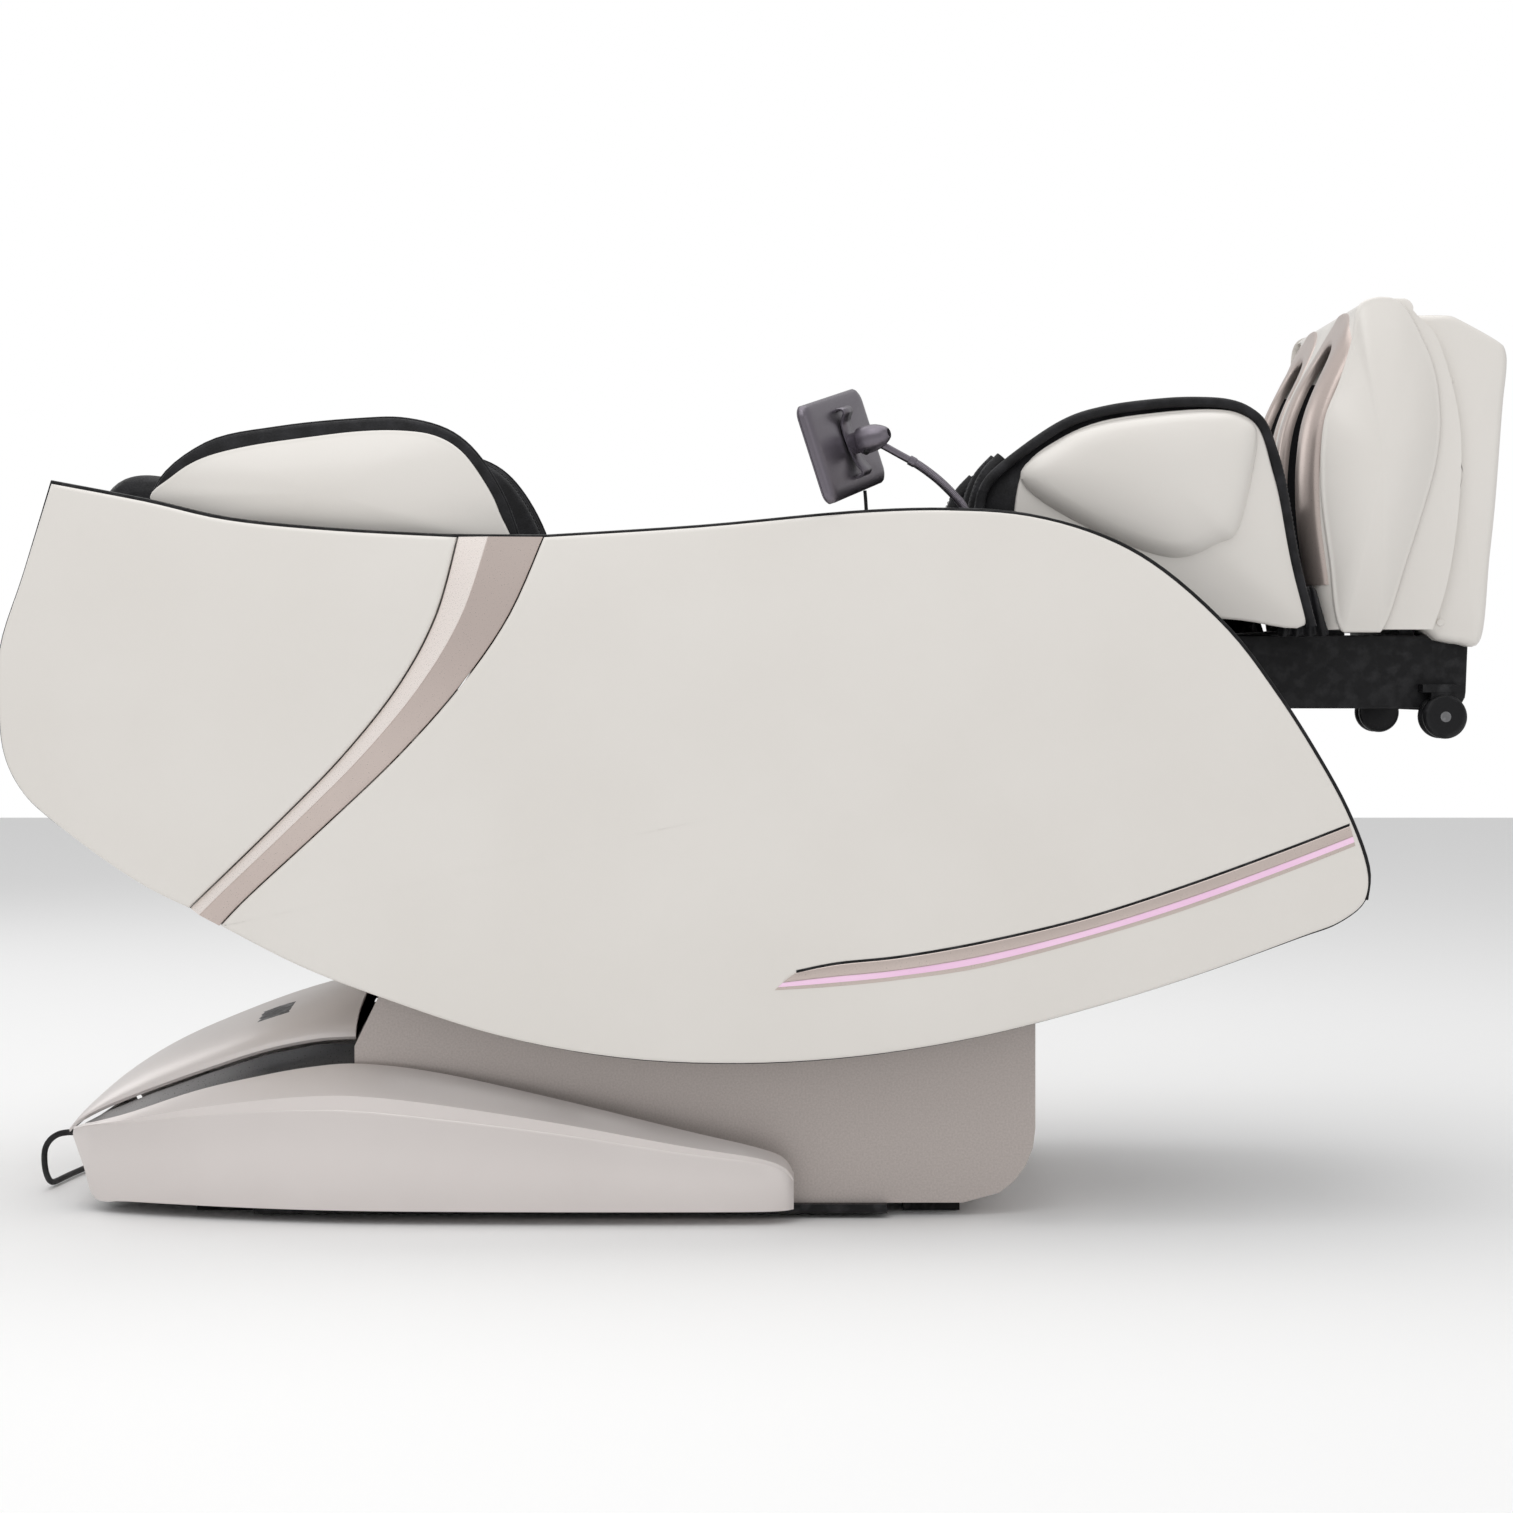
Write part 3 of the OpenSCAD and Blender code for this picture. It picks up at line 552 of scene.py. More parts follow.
# Lighter copy of the champagne lacquer, a painted highlight for the accent strip's lit rear facet.
CHAMPAGNE_PAINTED_HIGHLIGHT = lacquer("champagne_painted_highlight", (0.86, 0.79, 0.75), (0.82, 0.75, 0.71), 0.3, 0.3, 0.2, 700)
SILVER = lacquer("base_silver", (0.74, 0.69, 0.67), (0.70, 0.65, 0.63), 0.3, 0.36, 0.2, 600)
TOWER = tower_paint()
LEATHER = leather()
THREAD = thread()
KNIT = knit()
BLACK = moulded("black_plastic", (0.006, 0.006, 0.007), 0.45, (0.03, 0.03, 0.032))
RUBBER = moulded("rubber", (0.012, 0.012, 0.012), 0.7, (0.05, 0.05, 0.05), 400)
JACKET = moulded("cable_jacket", (0.012, 0.012, 0.013), 0.5, (0.04, 0.04, 0.04), 900)
STEEL = moulded("dark_steel", (0.045, 0.045, 0.048), 0.45, (0.25, 0.25, 0.26), 500, 0.6)
GREY = moulded("grey_plastic", (0.13, 0.13, 0.135), 0.5, (0.25, 0.25, 0.26))
BRIGHT = turned_steel()
GUNMETAL = gunmetal()
GROOVE = groove_painted_shade()
LENS = lens()
SCREEN = screen()

FINISH = {
    "pearl_white": WHITE, "champagne": CHAMPAGNE, "base_silver": SILVER, "tower_paint": TOWER,
    "groove_gloss": GROOVE, "black_leather": LEATHER, "black_fabric": KNIT, "black_plastic": BLACK,
    "rubber": RUBBER, "dark_steel": STEEL, "bright_steel": BRIGHT, "grey_plastic": GREY,
    "gunmetal": GUNMETAL, "cable_jacket": JACKET, "light_lens": LENS,
}


EDGE_BEVEL = 1.2
TOWER_BEVEL = 4


def dress_cad_nodes():
    """Gives each CAD node its finish, and those still shown a small bevel on their hard edges."""
    bevelled = {"base_frame", "base_skirt", "body_frame", "rubber_feet", "leg_frame", "foot_undercarriage",
                "massage_carriage", "electronics_box", "rear_axle", "power_rocker", "tilt_actuator_tube",
                "tilt_actuator_rod", "leg_actuator_tube", "leg_actuator_rod", "track_rails", "tilt_pivot_pins"}
    for row in frame["record"]["subparts"]:
        o = nodes[row["node"]]
        o.data.materials.clear()
        o.data.materials.append(FINISH[row["material_slot"]])
        if row["node"] in bevelled:
            bevel(o, EDGE_BEVEL)
    bevel(nodes["base_tower"], TOWER_BEVEL, 4, 25)


dress_cad_nodes()


# ---------------------------------------------------------------- cords

LEAD_D = 8
COIL_CENTRE = (-820, 304)
LEAD_ROUTE = [(-902, -90, 78), (-910, -90, 78), (-922, -89.5, 75.6), (-932.6, -88, 68.6), (-939.6, -86, 58.2),
              (-942, -84, 46), (-941.8, -81, 30.3), (-941, -72, 17), (-940, -58.7, 8.1), (-938, -43, 5),
              (-932, 0, 5), (-922, 60, 5), (-909, 130, 5), (-897, 195, 5), (-889, 240, 5), (-881, 275, 5)]
COIL_TURNS = [(0, 56, 5), (0.25, 48, 5), (1, 48, 5), (1.25, 40, 5), (1.5, 40, 5), (2, 40, 13), (2.25, 40, 13),
              (2.5, 48, 13), (3, 48, 13), (3.25, 48, 21)]
PLUG_START = (-797, 352, 13)


def coil_run():
    """The put-away lead: an outer turn, an inner one beside it, then the second layer back outward."""
    turns, radii, heights = np.array(COIL_TURNS).T
    x, y = COIL_CENTRE
    made = []
    for t in np.arange(0.02, turns[-1], 1 / 48):
        a = math.pi * (1 - 2 * t)
        r = np.interp(t, turns, radii)
        made.append((x + r * math.cos(a), y + r * math.sin(a), np.interp(t, turns, heights)))
    return made


def mains_plug():
    """Moulded plug lying beside the coil, with a ribbed neck and its pins."""
    x, y, z = PLUG_START
    profile = [(0, 4.6), (1, 5.4)]
    for k in range(4):
        profile += [(2 + 2.6 * k, 5.6 + 0.4 * k), (3.2 + 2.6 * k, 5.6 + 0.4 * k),
                    (3.6 + 2.6 * k, 4.8 + 0.4 * k)]
    profile += [(13, 8), (17, 11), (22, 12), (34, 12), (37, 11.4), (38, 9.5)]
    made = [lathe("plug_body", profile, PLUG_START, (1, 0, 0), JACKET, 40)]
    for side in SIDES:
        pin = [(0, 2.4), (0.1, 2.4), (17, 2.4), (18.4, 1.6), (18.8, 0.6)]
        made.append(lathe("pin", pin, (x + 37.5, y + 6.5 * side, z), (1, 0, 0), BRIGHT, 16))
    return place(joined("mains_plug_body", made), "base", "cable_jacket", "mains_plug")


def mains_lead():
    """The whole lead from its sleeve to its plug, as one tube."""
    end = [(-815, 352, 20.5), (-808, 352, 18.0), (-801, 352, 14.5), (-794, 352, 13)]
    route = np.vstack([curve(LEAD_ROUTE, 4)[:-1], curve(np.array(coil_run()[::3] + end), 3)])
    lead = tube("mains_lead_run", route, LEAD_D / 2, JACKET, 12)
    place(lead, "base", "cable_jacket", "mains_lead", "mains_lead_coil")
    return lead, route


lead_piece, lead_route = mains_lead()
plug_piece = mains_plug()


# ---------------------------------------------------------------- outlines shared with part.scad

STRIP_FRONT = [(-266, 845), (-307, 750), (-364, 666), (-439, 581), (-526, 498), (-621, 411), (-657, 374)]
STRIP_REAR = [(-371, 845), (-396, 750), (-440, 666), (-507, 581), (-588, 498), (-695, 395)]
PANEL_REST = [(-266, 845), (-77, 857), (106, 874), (227, 878), (324, 871), (414, 845), (487, 803),
              (565, 732), (621, 659), (668, 587), (709, 514), (735, 445), (733, 404), (701, 377), (653, 359),
              (531, 315), (410, 277), (264, 239), (118, 215), (-28, 206), (-174, 213), (-320, 240),
              (-466, 288), (-563, 326), (-657, 374)]
REAR_REST = [(-695, 395), (-747, 420), (-808, 459), (-869, 505), (-900, 535), (-921, 574),
             (-929, 623), (-929, 708), (-900, 801), (-867, 911)]
REAR_TOP = [(-867, 911), (-752, 889), (-650, 866), (-520, 853), (-371, 845)]
SIDE_CENTRE = np.array([-96, 530])
SIDE_REACH = (900, 420)
PANEL_RIM = 335
SIDE_RISE = 8
HALF_W = 380
PANEL_WALL = 5
SEAT_LINE = [(-850, 818), (-640, 734), (-400, 638), (-200, 558), (-70, 514), (50, 522), (160, 590),
             (240, 652)]
LIGHT_LOW = [(14, 297), (80, 301), (160, 309), (262, 324), (383, 355), (503, 391), (624, 434), (719, 470)]
LIGHT_MID = [(24, 306), (84, 313), (163, 321), (265, 338), (387, 368), (507, 405), (628, 448), (716, 481)]
LIGHT_HIGH = [(40, 318), (90, 328), (166, 336), (268, 354), (391, 383), (511, 421), (632, 464), (712, 494)]
SEAM = 1.5
LEATHER_SLOT = "black_leather"


def skin(p):
    """Distance of the side skin from the centre plane above points of the side."""
    across = np.abs(p[..., 0] - SIDE_CENTRE[0]) / SIDE_REACH[0]
    up = np.abs(p[..., 1] - SIDE_CENTRE[1]) / SIDE_REACH[1]
    low = PANEL_RIM + SIDE_RISE
    return low + (HALF_W - low) * (1 - across ** 3) * (1 - up ** 2.5)


def flat_ring(outline, y, side):
    return np.stack([outline[:, 0], np.full(len(outline), float(side * y)), outline[:, 1]], axis=1)


def skin_ring(outline, drop, side):
    return np.stack([outline[:, 0], side * (skin(outline) - drop), outline[:, 1]], axis=1)


# ---------------------------------------------------------------- side shells

def side_shell(name, outline, centre, side):
    """Moulded side panel: rolled edge, crowned skin, open back with a real wall."""
    outline = inset(outline, SEAM / 2)
    rolled = inset(outline, 5)
    rings = [skin_ring(scaled(rolled, centre, s), PANEL_WALL, side) for s in (0.5, 0.9)]
    rings += [flat_ring(inset(outline, 4), PANEL_RIM, side), flat_ring(outline, PANEL_RIM, side)]
    for gap, drop in ((0, 4), (0.3, 2.2), (1.2, 0.8), (2.8, 0.1), (5, 0)):
        rings.append(skin_ring(inset(outline, gap), drop, side))
    for s in (0.97, 0.93, 0.87, 0.8, 0.7, 0.6, 0.5, 0.4, 0.3, 0.2, 0.1):
        rings.append(skin_ring(scaled(rolled, centre, s), 0, side))
    return loft(name, rings, WHITE)


def side_panels():
    main = np.vstack([curve(PANEL_REST, 5)[:-1], curve(STRIP_FRONT[::-1], 5)[:-1]])
    rear = np.vstack([curve(REAR_TOP, 5)[:-1], curve(STRIP_REAR, 5)[:-1], curve(REAR_REST, 5)[:-1]])
    for side, word in NAMED_SIDES:
        o = side_shell("side_panel_skin_" + word, main, (50, 530), side)
        place(o, "seat_body", "pearl_white", "side_panel_" + word)
        o = side_shell("rear_panel_skin_" + word, rear, (-680, 680), side)
        place(o, "seat_body", "pearl_white", "rear_panel_" + word)


def strip_facet(name, front, rear, span, heights, material, side):
    """One facet of the accent strip: a shallow bar between two shares of the strip's width."""
    rings = []
    for f, r in zip(front, rear):
        a, b = r + span[0] * (f - r), r + span[1] * (f - r)
        la, lb = skin(a) + heights[0], skin(b) + heights[1]
        section = [(a, la - 5), (a, la - 0.5), (a + 0.02 * (b - a), la),
                   (b - 0.02 * (b - a), lb), (b, lb - 0.5), (b, lb - 5)]
        rings.append([(p[0], side * y, p[1]) for p, y in section])
    return loft(name, rings, material, sharp=12)


def accent_strips():
    """Two-facet metallic strip between the panels, with a crisp ridge; its narrow rear facet is a lighter
    champagne copy, a painted highlight.
    """
    steps = 60
    front = even(curve(STRIP_FRONT, 8), steps) + [-SEAM, 0]
    rear = even(curve(STRIP_REAR, 8), steps) + [SEAM, 0]
    for side, word in NAMED_SIDES:
        # The rear facet takes the lighter champagne copy as painted highlight; the front facet the plain
        # champagne.
        made = [strip_facet("lit_facet_highlight", front, rear, (0, 0.36), (-6, 2.6), CHAMPAGNE_PAINTED_HIGHLIGHT, side),
                strip_facet("deep", front, rear, (0.36, 1), (2.6, -6), CHAMPAGNE, side)]
        place(joined("accent_strip_face_" + word, made), "seat_body", "champagne", "accent_strip_" + word)


def side_seams():
    """Black edge trim behind the panels, showing along the front edge and in the seams."""
    outer = np.vstack([curve(REAR_TOP, 5)[:-1], curve(PANEL_REST, 5)[:-1], curve(REAR_REST, 5)[:-1]])
    made = []
    for side in SIDES:
        grow = inset(outer, -3)
        rings = [flat_ring(inset(outer, 26), 327, side), flat_ring(grow, 327, side),
                 flat_ring(inset(outer, -4), 331, side), flat_ring(grow, 336, side),
                 flat_ring(inset(outer, 3), 337.5, side), flat_ring(inset(outer, 26), 334, side)]
        made.append(loft("edge_trim", rings, BLACK, wrap=True))
        front = curve(PANEL_REST[3:13], 5)
        run = skin_ring(front, 3.5, side)
        radius = np.interp(np.linspace(0, 1, len(run)), [0, 0.25, 1], [1.2, 3, 3])
        made.append(tube("edge_bead", run, radius, BLACK))
    place(joined("edge_trim_bands", made), "seat_body", "black_plastic", "edge_trims")


def skin_band(name, low, high, lifts, material, side, sink=3, steps=70):
    """Band laid on the side skin between two lines, its height over the skin given across it."""
    a, b = even(curve(low, 6), steps), even(curve(high, 6), steps)
    rings = []
    for p, q in zip(a, b):
        row = [(p[0], side * (skin(p) - sink), p[1])]
        for share, lift in lifts:
            at = p + share * (q - p)
            row.append((at[0], side * (skin(at) + lift), at[1]))
        row.append((q[0], side * (skin(q) - sink), q[1]))
        rings.append(row)
    return loft(name, rings, material, sharp=25)


def light_bars():
    """Champagne ledge with a dark shadow line above it and the glowing lens under it."""
    up = [np.array(p) + (0, 3.2) for p in LIGHT_HIGH]
    ledge_low = [np.array(p) + (0, 0.5) for p in LIGHT_MID]
    half_way = [(np.array(p) * 0.6 + np.array(q) * 0.4) for p, q in zip(LIGHT_LOW, LIGHT_MID)]
    trims, lenses = [], []
    for side in SIDES:
        trims.append(skin_band("shadow", LIGHT_HIGH, up, [(0, 0.5), (1, 0.5)], BLACK, side))
        trims.append(skin_band("ledge", ledge_low, LIGHT_HIGH,
                               [(0, 0.2), (0.06, 1.6), (0.5, 2.0), (0.94, 1.0), (1, 0.4)], CHAMPAGNE, side))
        trims.append(skin_band("under_ledge", LIGHT_LOW, half_way, [(0, 0.3), (0.5, 0.7), (1, 0.5)],
                               CHAMPAGNE, side))
        lenses.append(skin_band("lens", half_way, LIGHT_MID, [(0, 0.5), (0.5, 1.1), (1, 0.5)], LENS, side))
    place(joined("light_bar_trims", trims), "seat_body", "champagne", "light_trims")
    place(joined("light_bar_lenses", lenses), "seat_body", "light_lens", "light_lenses")


def dome_rings(outline, centre, y0, edge, rise, wall, side):
    """Rings of a domed cover: wall, rolled edge, then a crown that flattens to the middle."""
    def ring(p, y):
        return flat_ring(p, y, side)
    inner = inset(outline, wall)
    rings = [ring(scaled(inner, centre, 0.1), y0 + edge + rise - wall),
             ring(scaled(inner, centre, 0.6), y0 + edge + 0.78 * rise - wall), ring(inner, y0),
             ring(outline, y0), ring(outline, y0 + edge - 2)]
    for k in range(1, 5):
        a = math.radians(22.5 * k)
        rings.append(ring(inset(outline, 4 * (1 - math.cos(a))), y0 + edge - 2 + 3 * math.sin(a)))
    soft = inset(outline, 4)
    for s in (0.97, 0.92, 0.85, 0.76, 0.66, 0.55, 0.44, 0.33, 0.22, 0.1):
        rings.append(ring(scaled(soft, centre, s), y0 + edge + 1 + (rise - 1) * (1 - s ** 2.2)))
    return rings


# ---------------------------------------------------------------- leather work

def coordinates(o):
    flat = np.zeros(len(o.data.vertices) * 3)
    o.data.vertices.foreach_get("co", flat)
    return flat.reshape(-1, 3)


def inflate(o, voxel, pressure, cap, frames=20):
    """Lets a closed mesh swell as cloth, with no point moving further than the cap."""
    bpy.context.view_layer.objects.active = o
    remesh = o.modifiers.new("remesh", "REMESH")
    remesh.mode = "VOXEL"
    remesh.voxel_size = voxel * MM
    apply(o)
    rest = coordinates(o)
    cloth = o.modifiers.new("cloth", "CLOTH")
    cloth.settings.use_pressure = True
    cloth.settings.uniform_pressure_force = pressure
    cloth.settings.effector_weights.gravity = 0
    cloth.settings.quality = 5
    cloth.settings.tension_stiffness = 12
    cloth.settings.bending_stiffness = 0.6
    cloth.point_cache.frame_start = 1
    cloth.point_cache.frame_end = frames
    scene = bpy.context.scene
    for f in range(1, frames + 1):
        scene.frame_set(f)
    apply(o)
    scene.frame_set(1)
    move = coordinates(o) - rest
    size = np.linalg.norm(move, axis=1, keepdims=True)
    move *= np.minimum(1, cap * MM / np.maximum(size, 1e-9))
    o.data.vertices.foreach_set("co", (rest + move).ravel())
    o.data.update()
    o.data.shade_smooth()
    return o


def pad_along(name, path, half_w, channels):
    """Upholstered pad under a path: crowned across, rounded at the ends, with sewn channels.

    Channels are shares of the length at which a seam pulls the top down."""
    thick, corner, crown, depth = 45, 20, 4, 7
    cross, steps = 40, 110
    line = even(path, steps)
    down = right_of(line)
    share = np.linspace(0, 1, steps)
    length = path_length(line)
    end = np.minimum(share, 1 - share) * length
    rings = []
    for i in range(steps):
        fall = max(0.0, 1 - end[i] / corner)
        lip = corner * (1 - math.sqrt(max(0.0, 1 - fall ** 2)))
        pulled = sum(math.exp(-((share[i] - c) * length / 7) ** 2) for c in channels)
        w = half_w - lip * 0.6 - (2.5 * pulled)
        ring = []
        for k in range(cross):
            a = 2 * math.pi * k / cross
            ca, sa = math.cos(a), math.sin(a)
            y = w * math.copysign(abs(ca) ** 0.28, ca)
            bulge = crown * (1 - (y / w) ** 2) if sa > 0 else 0
            h = (thick / 2 - lip * 0.8) * math.copysign(abs(sa) ** 0.5, sa)
            top = bulge - depth * pulled * max(0.0, sa) ** 0.5
            p = line[i] + down[i] * (thick / 2 - h - top)
            ring.append((p[0], y, p[1]))
        rings.append(ring)
    return loft(name, rings, None, sharp=80)


STITCH_PITCH = 6.0
STITCH_LENGTH = 3.6
STITCH_RADIUS = 0.55


def stitch_row(points):
    """Short threads along a path of points in millimetres."""
    p = np.array(points, float)
    run = distances(p)
    sides = 6
    rings = ((0, 0.35), (0.2, 1), (0.8, 1), (1, 0.35))
    verts, faces = [], []
    for s in np.arange(STITCH_PITCH / 2, run[-1] - STITCH_LENGTH, STITCH_PITCH):
        a, b = (np.array([np.interp(at, run, p[:, k]) for k in range(3)]) for at in (s, s + STITCH_LENGTH))
        t = unit(b - a)
        u = unit(np.cross(t, TUBE_ASIDE))
        v = np.cross(t, u)
        first = len(verts)
        last = first + sides * (len(rings) - 1)
        for along, r in rings:
            c = a + along * (b - a)
            for k in range(sides):
                ang = math.pi * k / 3
                verts.append(c + STITCH_RADIUS * r * (math.cos(ang) * u + math.sin(ang) * v))
        faces += ring_faces(len(rings), sides, True, first)
        faces.append(tuple(first + k for k in range(sides - 1, -1, -1)))
        faces.append(tuple(last + k for k in range(sides)))
    return piece("stitches", verts, faces, THREAD, 60)


def on_path(path, share, y, lift=0.0):
    """Point on a path's top at a share of its length and a distance from the centre plane."""
    line = even(path, 200)
    i = int(round(share * (len(line) - 1)))
    p = line[i] - lift * right_of(line)[i]
    return (p[0], y, p[1])


SEAT_CURVE = curve(SEAT_LINE, 8)


def cut(path, x0, x1):
    return np.array([p for p in path if x0 <= p[0] <= x1])


def main_cushions():
    """Back and seat cushions, quilted across, swollen by cloth, with piping and thread."""
    back = cut(SEAT_CURVE, -700, -78)
    seat = cut(SEAT_CURVE, -66, 246)
    plan = (("back_cushion", back, 215, (0.18, 0.36, 0.54, 0.72, 0.88)),
            ("seat_cushion", seat, 230, (0.22, 0.44, 0.66, 0.86)))
    for name, path, half_w, channels in plan:
        o = pad_along(name + "_pad", path, half_w - 3, channels)
        inflate(o, 8, 3.0, 6)
        o.data.materials.append(LEATHER)
        place(o, "seat_body", LEATHER_SLOT, name)
        rows = []
        for c in channels:
            across = [on_path(path, c, y, -1.5) for y in np.linspace(-half_w + 22, half_w - 22, 40)]
            rows.append(tube("cord", across, 1.6, LEATHER, 8))
            for gap in (-0.012, 0.012):
                ys = np.linspace(-half_w + 24, half_w - 24, 40)
                rows.append(stitch_row([on_path(path, c + gap, y, 2.0 - abs(y) / half_w * 2) for y in ys]))
        place(joined(name + "_seams", rows), "seat_body", LEATHER_SLOT)


def head_pillow():
    """Soft head rest in ribs, laid on the top of the back."""
    outline = curve([(-846, 830), (-856, 870), (-849, 908), (-830, 930), (-800, 938), (-760, 930),
                     (-722, 900), (-706, 850), (-712, 778), (-780, 796)], 6, True)
    centre = (-782, 862)
    ribs, half_w = 7, 186
    rings = []
    for k in range(ribs * 8 + 1):
        t = k / (ribs * 8)
        y = half_w * (2 * t - 1)
        rib = abs(math.sin(math.pi * ribs * t)) ** 0.45
        end = min(1.0, math.sqrt(max(0.0, 1 - abs(2 * t - 1) ** 9)) + 0.02)
        rings.append(flat_ring(scaled(outline, centre, (0.90 + 0.075 * rib) * (0.75 + 0.25 * end)), y, 1))
    o = loft("head_pillow_pad", rings, None, sharp=180)
    inflate(o, 6, 3.0, 5)
    o.data.materials.append(LEATHER)
    place(o, "seat_body", LEATHER_SLOT, "head_pillow")


def arm_pads():
    """Padded arm channels inside the side panels, with piping along the top edge."""
    outline = np.array([(-290, 600), (-290, 760), (-150, 775), (60, 795), (200, 802), (264, 799), (270, 740),
                        (248, 680), (160, 612), (50, 548), (-70, 540), (-180, 570)])
    outline = even(outline, 160, True)
    made, seams = [], []
    for side in SIDES:
        rings = []
        for t in np.linspace(0, 1, 15):
            y = 241 + 68 * t
            rings.append(flat_ring(inset(outline, 2 + drawn_in(t, 6, 5)), y, side))
        o = loft("arm_pad", rings, None, sharp=180)
        made.append(inflate(o, 8, 3.0, 5))
        made[-1].data.materials.append(LEATHER)
        top = curve([(-286, 758), (-150, 774), (60, 794), (200, 801), (258, 798)], 10)
        for y in (247, 303):
            run = flat_ring(top - [0, 1.5], y, side)
            seams.append(tube("piping", run, 2.2, LEATHER, 10))
            seams.append(stitch_row(run + [0, -side * math.copysign(6, y - 275), 2.2]))
    o = joined("arm_pads_leather", made)
    place(o, "seat_body", LEATHER_SLOT, "arm_cushions")
    place(joined("arm_pads_seams", seams), "seat_body", LEATHER_SLOT)


WING = [(-756, 892), (-730, 922), (-692, 945), (-635, 960), (-560, 971), (-499, 978), (-448, 979),
        (-406, 973), (-373, 954), (-345, 917), (-326, 879), (-316, 830), (-420, 825), (-560, 832),
        (-700, 850)]
SHOULDER = [(-752, 905), (-690, 962), (-600, 982), (-500, 992), (-440, 992), (-385, 975), (-345, 935),
            (-312, 870), (-300, 800), (-320, 700), (-430, 700), (-600, 760), (-740, 820)]


def shoulders():
    """White wings with a black leather edge, and stitched pads behind them."""
    wing = curve(WING, 6, True)
    pad = curve(SHOULDER, 6, True)
    seen = 72
    wings, pads, seams = [], [], []
    for side in SIDES:
        wings.append(loft("wing", dome_rings(wing, (-530, 900), 292, 7, 17, 5, side), WHITE))
        for y0, y1, grow in ((276, 290, -2), (240, 272, 3)):
            rings = []
            for t in np.linspace(0, 1, 9):
                rings.append(flat_ring(inset(pad, grow + drawn_in(t, 5, 2.5)), y0 + t * (y1 - y0), side))
            pads.append(loft("pad", rings, LEATHER, sharp=180))
            edge = inset(pad, grow - 0.5)[:seen]
            seams.append(tube("piping", flat_ring(edge, (y0 + y1) / 2, side), 1.6, LEATHER, 8))
        for y in (248, 264):
            seams.append(stitch_row(flat_ring(inset(pad, 2.5)[:seen], y, side)))
    place(joined("shoulder_wing_skins", wings), "seat_body", "pearl_white", "shoulder_wings")
    o = joined("shoulder_pads_leather", pads)
    place(o, "seat_body", LEATHER_SLOT, "shoulder_pads")
    place(joined("shoulder_pad_seams", seams), "seat_body", LEATHER_SLOT)


# ---------------------------------------------------------------- rear shell

def back_shell():
    """Curved white shell over the back, rounded into the sides, with a field of vents."""
    rear = curve([(-861, 900), (-893, 801), (-922, 708), (-922, 623), (-914, 576), (-893, 540),
                  (-863, 511), (-803, 466), (-742, 427), (-640, 372), (-560, 338), (-482, 312)], 6)
    inward = -right_of(rear)
    rings = []
    for p, n in zip(rear, inward):
        row = []
        for y in np.linspace(-318, 318, 41):
            sag = 7 * falloff((318 - abs(y)) / 60)
            row.append((p[0] + n[0] * sag, y, p[1] + n[1] * sag))
        for y in np.linspace(318, -318, 41):
            sag = 7 * falloff((318 - abs(y)) / 60) + 4
            row.append((p[0] + n[0] * sag, y, p[1] + n[1] * sag))
        rings.append(row)
    place(loft("back_shell_skin", rings, WHITE), "seat_body", "pearl_white", "back_shell")
    slots = []
    for i in range(30, 48, 2):
        p = rear[i] - 0.2 * inward[i]
        run = [(p[0], y, p[1]) for y in np.linspace(-70, 70, 12)]
        slots.append(tube("vent", run, 2.2, BLACK, 8))
    place(joined("back_vents", slots), "seat_body", "black_plastic")


# ---------------------------------------------------------------- base

FAIRING = [(-878, 190, 90, 98, 101), (-860, 208, 54, 105, 108), (-842, 222, 17, 109, 113),
           (-795, 243, 17, 116, 127), (-713, 266, 17, 127, 155), (-641, 283, 17, 135, 173),
           (-568, 296, 17, 140, 187), (-500, 304, 17, 140, 192), (-400, 309, 17, 131, 181),
           (-251, 312, 17, 113, 150), (-103, 312, 17, 90, 115), (-10, 310, 17, 78, 94),
           (25, 303, 17, 66, 80), (38, 292, 17, 50, 60)]
HUMP = [(-893, 150, 92, 98), (-874, 172, 108, 122), (-837, 188, 128, 154), (-780, 204, 152, 188),
        (-704, 216, 180, 221), (-628, 222, 205, 249), (-560, 226, 219, 268), (-513, 227, 222, 276)]


def hump_cover():
    """Centre cover over the tail, with two small blank plates laid on it."""
    rings = []
    for x, half, edge, crown in curve(HUMP, 6):
        outer, inner = [], []
        for k in range(33):
            a = math.pi * k / 32
            outer.append((x, half * math.cos(a), edge + (crown - edge) * math.sin(a)))
            inner.append((x, (half - 4) * math.cos(a), edge - 4 + (crown - edge) * math.sin(a)))
        rings.append(outer + inner[::-1])
    place(loft("hump_cover_skin", rings, SILVER), "base", "base_silver", "base_hump_cover")
    made = []
    for x0, x1, y0, y1, material in ((-655, -610, -150, -95, STEEL), (-760, -752, -128, -112, BLACK)):
        verts, faces = [], []
        for x in np.linspace(x0, x1, 5):
            for y in np.linspace(y0, y1, 7):
                _, half, edge, crown = row_at(x, HUMP)
                z = edge + (crown - edge) * math.sqrt(1 - (y / half) ** 2)
                verts.append((x, y, z + 0.6))
        top = len(verts)
        verts += [(x, y, z - 3) for x, y, z in verts]
        faces += ring_faces(5, 7, False) + ring_faces(5, 7, False, top)
        rim = list(range(7)) + [7 * k + 6 for k in range(1, 5)]
        rim += [28 + j for j in range(5, -1, -1)] + [7 * k for k in range(3, 0, -1)]
        faces += [(rim[k], rim[(k + 1) % len(rim)], top + rim[(k + 1) % len(rim)], top + rim[k])
                  for k in range(len(rim))]
        made.append(piece("plate", verts, faces, material, 30))
    place(joined("hump_plates", made), "base", "dark_steel")


